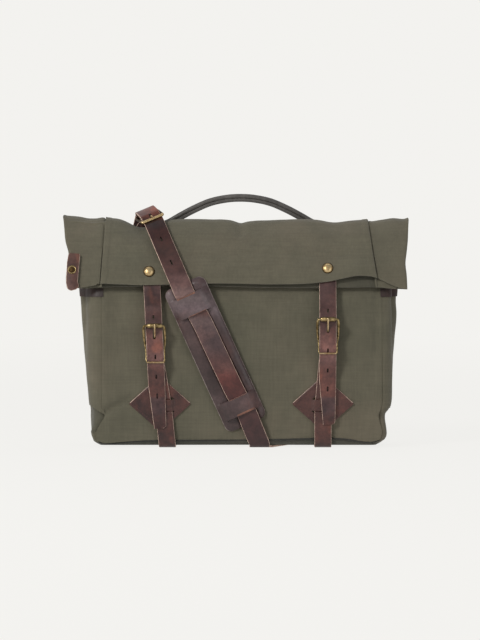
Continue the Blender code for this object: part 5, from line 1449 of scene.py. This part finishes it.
def anchor_rivet(side):
    """The rivet that holds one end of the shoulder strap to the back."""
    name = SIDES[side]
    x, z = ((-0.1645, 0.1915), (0.1640, 0.1765))[side]
    slope = unit([0, 0.022, 0.009])
    at = np.array([x, back_y(z), z]) + slope * 0.0074
    turned(f"{name}_anchor_cap", cap_profile(0.0048, 0.0020), at, slope, BRASS_MAT, "bag",
           (f"{name}_anchor_rivet",))


def shoulder_buckle():
    """The brass buckle on the fold, its prong, and the chape that holds it."""
    across, along, up, length = top_frame()
    half = 0.0146
    right = [(half - 0.0028, 0), (half - 0.0005, 0.0012), (half, 0.0045), (half, length / 2),
             (half, length - 0.003), (half - 0.0016, length)]
    left = [(-u, v) for u, v in reversed(right)]
    loop = left[-1:] + [(0, 0)] + right + [(0, length)] + left[:-1]
    path = route([top_spot(u, v, 0) for u, v in loop], 6, closed=True)
    tube("top_buckle_wire", path, 0.0015, TARNISH_AND_SHADE_MAT, "shoulder_buckle", ("shoulder_buckle_frame",),
         across=up, closed=True)
    right = [(half - 0.0028, 0), (half - 0.0010, 0.0008), (half - 0.0004, 0.0026)]
    bar = [(-u, v) for u, v in reversed(right)] + [(0, 0)] + right
    tube("top_front_bar", route([top_spot(u, v, 0.0001) for u, v in bar], 6), 0.00185, CAP_MAT,
         "shoulder_buckle", across=up)
    curl = [top_spot(0, v, lift) for v, lift in arc((length, 0), 0.00345, range(160, 411, 18))]
    arm = [top_spot(0, v, lift) for v, lift in
           ((length - 0.0062, 0.0014), (0.0140, 0.0010), (0.0090, 0.0012), (0.0050, 0.0024),
            (0.0018, 0.0031), (-0.0010, 0.0031))]
    path = np.vstack([curl, route(arm, 5)])
    radius = np.full(len(path), 0.0012)
    radius[-2:] = (0.0013, 0.0009)
    tube("top_prong_wire", path, radius, BRIGHT_BRASS_MAT, "shoulder_prong", ("shoulder_buckle_prong",),
         across=across, around=12)
    turn = 0.0016 + 0.00045 + LEATHER / 2
    path = [(-0.1240, at_depth(-0.0110), 0.2692), (-0.1215, at_depth(-0.0112), 0.2735),
            (-0.1175, at_depth(-0.0128), 0.2795), (-0.1150, at_depth(-0.0134), 0.2850)]
    loop = [top_spot(0, v, lift) for v, lift in arc((length, 0), turn, range(5, 231, 15))]
    path = np.vstack([route(path + [tuple(loop[0])], 6)[:-1], loop])
    tail = 1 - smoothstep(0.2850, 0.2950, path[:, 2])
    chape = strap("top_chape_leather", path, 0.0235 - 0.0070 * tail, LEATHER, LEATHER_MATS, "shoulder_buckle",
                  ("shoulder_buckle_chape",), toward_bar(path[:, 2], 0.268, 0.014), crown=0, shift=0.0035 * tail)
    tool = slot_cutter("chape_opening", top_spot(0, length - 0.0005, 0.0015), along, across, up,
                       0.0160, 0.0040, 0.0065)
    return cut(chape, [tool], folded=True)


def handle():
    """A rolled grip with a stitched flange, on two rings held to the back by riveted loops."""
    middle_x, span, bar_z, bar_depth = 0.0055, 0.099, 0.257, 0.0188
    top_z = 0.3115
    y = BODY_Y + bar_depth
    top_bar = bar_z + 0.013
    half = [(0.0, top_z), (0.018, top_z - 0.0012), (0.038, top_z - 0.0055), (0.058, top_z - 0.0140),
            (0.076, top_z - 0.0235), (0.088, top_z - 0.0305), (0.0960, top_bar + 0.0070),
            (span, top_bar + 0.0008), (span, top_bar - 0.0035)]
    points = [(middle_x - u, y, z) for u, z in reversed(half)] + [(middle_x + u, y, z) for u, z in half[1:]]
    path = route(points, 9)
    _, _, normals = frames(path, (0, 1, 0))
    inward = np.array([middle_x, y, 0.20]) - path
    normals = normals * np.sign((normals * inward).sum(1))[:, None]
    side = np.array([0.0, 1.0, 0.0])
    roll = [math.radians(a) for a in np.linspace(52, 308, 19)]
    section = [(0.0031 * math.sin(a), -0.0018 + 0.0031 * math.cos(a)) for a in roll]
    flange = [(0.0013, 0.00045), (0.0019, 0.0009), (0.0020, 0.0016), (0.0020, 0.0044), (0.0014, 0.0050)]
    section += [(-u, v) for u, v in flange] + [(0.0, 0.0051)] + flange[::-1]
    verts = [p + side * u + n * v for p, n in zip(path, normals) for u, v in section]
    grip = add_piece("handle_leather", verts, ring_faces(len(path), len(section)), [HANDLE_MAT], "handle",
                     ("handle_grip",), sharp=50)
    ends = [(label, middle_x + sign * span) for label, sign in zip(SIDES, SIGNS)]
    cut(grip, [tube(f"{label}_bore", [(cx + u, y, top_bar) for u in (-0.01, 0, 0.01)], 0.0019, HANDLE_MAT, None,
                    across=(0, 0, 1)) for label, cx in ends])
    seam = (path + normals * 0.0036)[8:-8]
    for name, sign in (("front", -1), ("back", 1)):
        thread = thread_material(f"handle_thread_{name}", (60, 56, 52))
        stitches(f"handle_stitches_{name}", seam + side * sign * 0.0020, (0, sign, 0), thread, "handle",
                 pitch=0.0042, length=0.0030, radius=0.00026)
    for label, cx in ends:
        r, h = 0.0025, 0.0106
        ring = [(-h + r, 0), (0, 0), (h - r, 0), (h, r), (h, 0.0065), (h, 0.013 - r), (h - r, 0.013), (0, 0.013),
                (-h + r, 0.013), (-h, 0.013 - r), (-h, 0.0065), (-h, r)]
        loop = route([(cx + u, y, bar_z + v) for u, v in ring], 6, closed=True)
        tube(f"{label}_ring_wire", loop, BAR_WIRE, BRASS_MAT, "handle", (f"{label}_handle_ring",),
             across=(0, 1, 0), closed=True, around=12)
        lift = SKIN_GAP + THIN_LEATHER / 2 + 0.0010
        rise = [(back_y(z) + lift, z) for z in (0.226, 0.230, 0.234, 0.238, 0.242, 0.2455, 0.2485)]
        bend = arc((y, bar_z), BAR_WIRE + SKIN_GAP + THIN_LEATHER / 2, range(200, -1, -20))
        fall = [(back_y(z) + lift + THIN_LEATHER + 0.0006, z) for z in (0.2475, 0.244, 0.241, 0.2375, 0.234)]
        strap(f"{label}_chape_leather", [(cx, a, b) for a, b in rise + bend + fall], 0.016, THIN_LEATHER,
              LEATHER_MATS, "bag", (f"{label}_handle_chape",), crown=0)
        slope = unit([0, 0.034, 0.018])
        at = np.array([cx, back_y(0.237), 0.237]) + slope * (lift + 1.5 * THIN_LEATHER + 0.0010)
        turned(f"{label}_handle_cap", cap_profile(0.0045, 0.0018), at, slope, BRASS_MAT, "bag",
               (f"{label}_handle_rivet",))


def side_tab():
    """The leather tab and its ring rivet at the flap's left lower corner."""
    heights = np.linspace(0.241, 0.1965, 30)
    path = []
    for z in heights:
        at, out = flap_face(max(z, 0.206))
        below = max(0.206 - z, 0)
        middle = np.interp(z, [0.1965, 0.1985, 0.2005, 0.2062, 0.229, 0.241],
                           [-0.2021, -0.2027, -0.2031, -0.2046, -0.2033, -0.2019])
        path.append(np.array([middle, at[1] - 0.34 * below, z]) + out * (0.0012 + THIN_LEATHER / 2))
    width = np.interp(heights, [0.1965, 0.1973, 0.1988, 0.2005, 0.2062, 0.229, 0.239, 0.241],
                      [0.0070, 0.0105, 0.0136, 0.0148, 0.0143, 0.0155, 0.0148, 0.0132])
    strap("tab_leather", path, width, THIN_LEATHER, [TAB_MAT, EDGE_MAT], "flap", ("side_tab",))
    at, out = flap_face(0.221)
    at = np.array([-0.2045, at[1], 0.221]) + out * (0.0012 + THIN_LEATHER - 0.0002)
    profile = [(0, 0), (0.0054, 0), (0.0056, 0.0004), (0.0055, 0.0009), (0.0050, 0.0013), (0.0043, 0.0013),
               (0.0038, 0.0009), (0.0034, 0.0006), (0.0019, 0.0006), (0.0016, 0.0010), (0.0010, 0.0012),
               (0, 0.0012)]
    turned("tab_ring_rivet", profile, at, out, BRASS_MAT, "flap", ("side_tab_rivet",))
    turned("tab_ring_centre", [(0, 0), (0.0037, 0), (0.0037, 0.0009), (0.0030, 0.0012), (0, 0.0014)], at, out,
           TARNISH_AND_SHADE_MAT, "flap")


shoulder_strap()
shoulder_pad()
strap_rear()
anchor_band(0)
anchor_band(1)
shoulder_buckle()
anchor_rivet(0)
anchor_rivet(1)
handle()
side_tab()


# ---------------------------------------------------------------- stage, light and camera
PAPER = (0.896, 0.888, 0.862)
PAPER_NEAR = 0.925              # its glow near the bag, where the lamps add the rest
PAPER_FADE = 3.5                # distance at which it reaches the room's tone
PAPER_RADIUS = 14
ROOM_LIGHT, WALL_LIGHT = 0.42, 0.85


def paper_material():
    """Glowing paper; a faint shadow can fall on it near the bag, and far away it is as pale as the room."""
    look = Look("paper", 0.9)
    length = look.node("VectorMath", {0: look.coords})
    length.operation = "LENGTH"
    far = look.math("DIVIDE", length.outputs["Value"], PAPER_FADE)
    near, away = (tuple(c * k for c in PAPER) + (1,) for k in (PAPER_NEAR, 1.0))
    look.surface({"Base Color": look.ramp(far, (0.12, (0.06, 0.0595, 0.058, 1)), (1.0, grey(0))),
                  "Emission Color": look.ramp(far, (0.12, near), (1.0, away)), "Emission Strength": 1.0,
                  "Specular IOR Level": 0.0})
    return look.mat


def paper_floor():
    """A round sheet of pale paper under the bag, wide enough for every view."""
    turns = np.linspace(0, 2 * math.pi, 64, endpoint=False)
    verts = [(PAPER_RADIUS * math.cos(a), PAPER_RADIUS * math.sin(a), -0.0002) for a in turns]
    mesh = bpy.data.meshes.new("paper_floor")
    mesh.from_pydata(verts, [], [tuple(range(len(verts)))])
    mesh.materials.append(paper_material())
    obj = bpy.data.objects.new("paper_floor", mesh)
    bpy.context.collection.objects.link(obj)


def studio_world():
    """A pale room: a bright wall behind the bag and a dimmer room in front of it."""
    world = bpy.data.worlds.new("room")
    bpy.context.scene.world = world
    world.use_nodes = True
    nodes, links = world.node_tree.nodes, world.node_tree.links
    side = nodes.new("ShaderNodeSeparateXYZ")
    links.new(nodes.new("ShaderNodeTexCoord").outputs["Generated"], side.inputs[0])
    light = nodes.new("ShaderNodeMapRange")
    light.interpolation_type = "SMOOTHSTEP"
    span = {"From Min": 0.1, "From Max": 0.45, "To Min": ROOM_LIGHT, "To Max": WALL_LIGHT}
    for name, value in span.items():
        light.inputs[name].default_value = value
    links.new(side.outputs["Y"], light.inputs["Value"])
    around = nodes["Background"]
    around.inputs["Color"].default_value = (0.93, 0.94, 0.95, 1)
    links.new(light.outputs["Result"], around.inputs["Strength"])
    seen = nodes.new("ShaderNodeBackground")
    seen.inputs["Color"].default_value = (*PAPER, 1)
    mix = nodes.new("ShaderNodeMixShader")
    links.new(nodes.new("ShaderNodeLightPath").outputs["Is Camera Ray"], mix.inputs["Fac"])
    links.new(around.outputs[0], mix.inputs[1])
    links.new(seen.outputs[0], mix.inputs[2])
    links.new(mix.outputs[0], nodes["World Output"].inputs["Surface"])


def area_light(name, at, aim, size, power, colour):
    """A rectangular lamp that faces a point."""
    data = bpy.data.lights.new(name, "AREA")
    data.shape = "RECTANGLE"
    data.size, data.size_y = size
    data.energy = power
    data.color = colour
    lamp = bpy.data.objects.new(name, data)
    lamp.location = at
    lamp.rotation_euler = (Vector(aim) - Vector(at)).to_track_quat("-Z", "Y").to_euler()
    bpy.context.collection.objects.link(lamp)


paper_floor()
studio_world()
area_light("key", (-2.0, -2.6, 2.0), (0, 0, 0.14), (0.8, 0.8), 82, (1.0, 0.985, 0.96))
area_light("fill", (2.2, -2.6, 1.0), (0, 0, 0.15), (2.0, 1.6), 17, (0.97, 0.98, 1.0))
area_light("side", (-3.0, -0.5, 0.7), (-0.18, 0, 0.15), (1.0, 1.0), 15, (1.0, 0.99, 0.96))
area_light("top", (0.0, 0.5, 2.6), (0, 0, 0.2), (2.0, 1.6), 5, (1, 1, 1))

AIM = Vector((0.005, -0.03, 0.159))
DISTANCE = 5.0
TILT = math.radians(2.0)
camera_data = bpy.data.cameras.new("camera")
camera_data.sensor_fit = "VERTICAL"
camera_data.sensor_height = 24
camera_data.lens = 150
camera = bpy.data.objects.new("camera", camera_data)
camera.location = AIM + Vector((0, -math.cos(TILT), math.sin(TILT))) * DISTANCE
camera.rotation_euler = (AIM - camera.location).to_track_quat("-Z", "Y").to_euler()
bpy.context.collection.objects.link(camera)
bpy.context.scene.camera = camera
bpy.context.scene.view_settings.view_transform = "Standard"
bpy.context.scene.view_settings.look = "None"
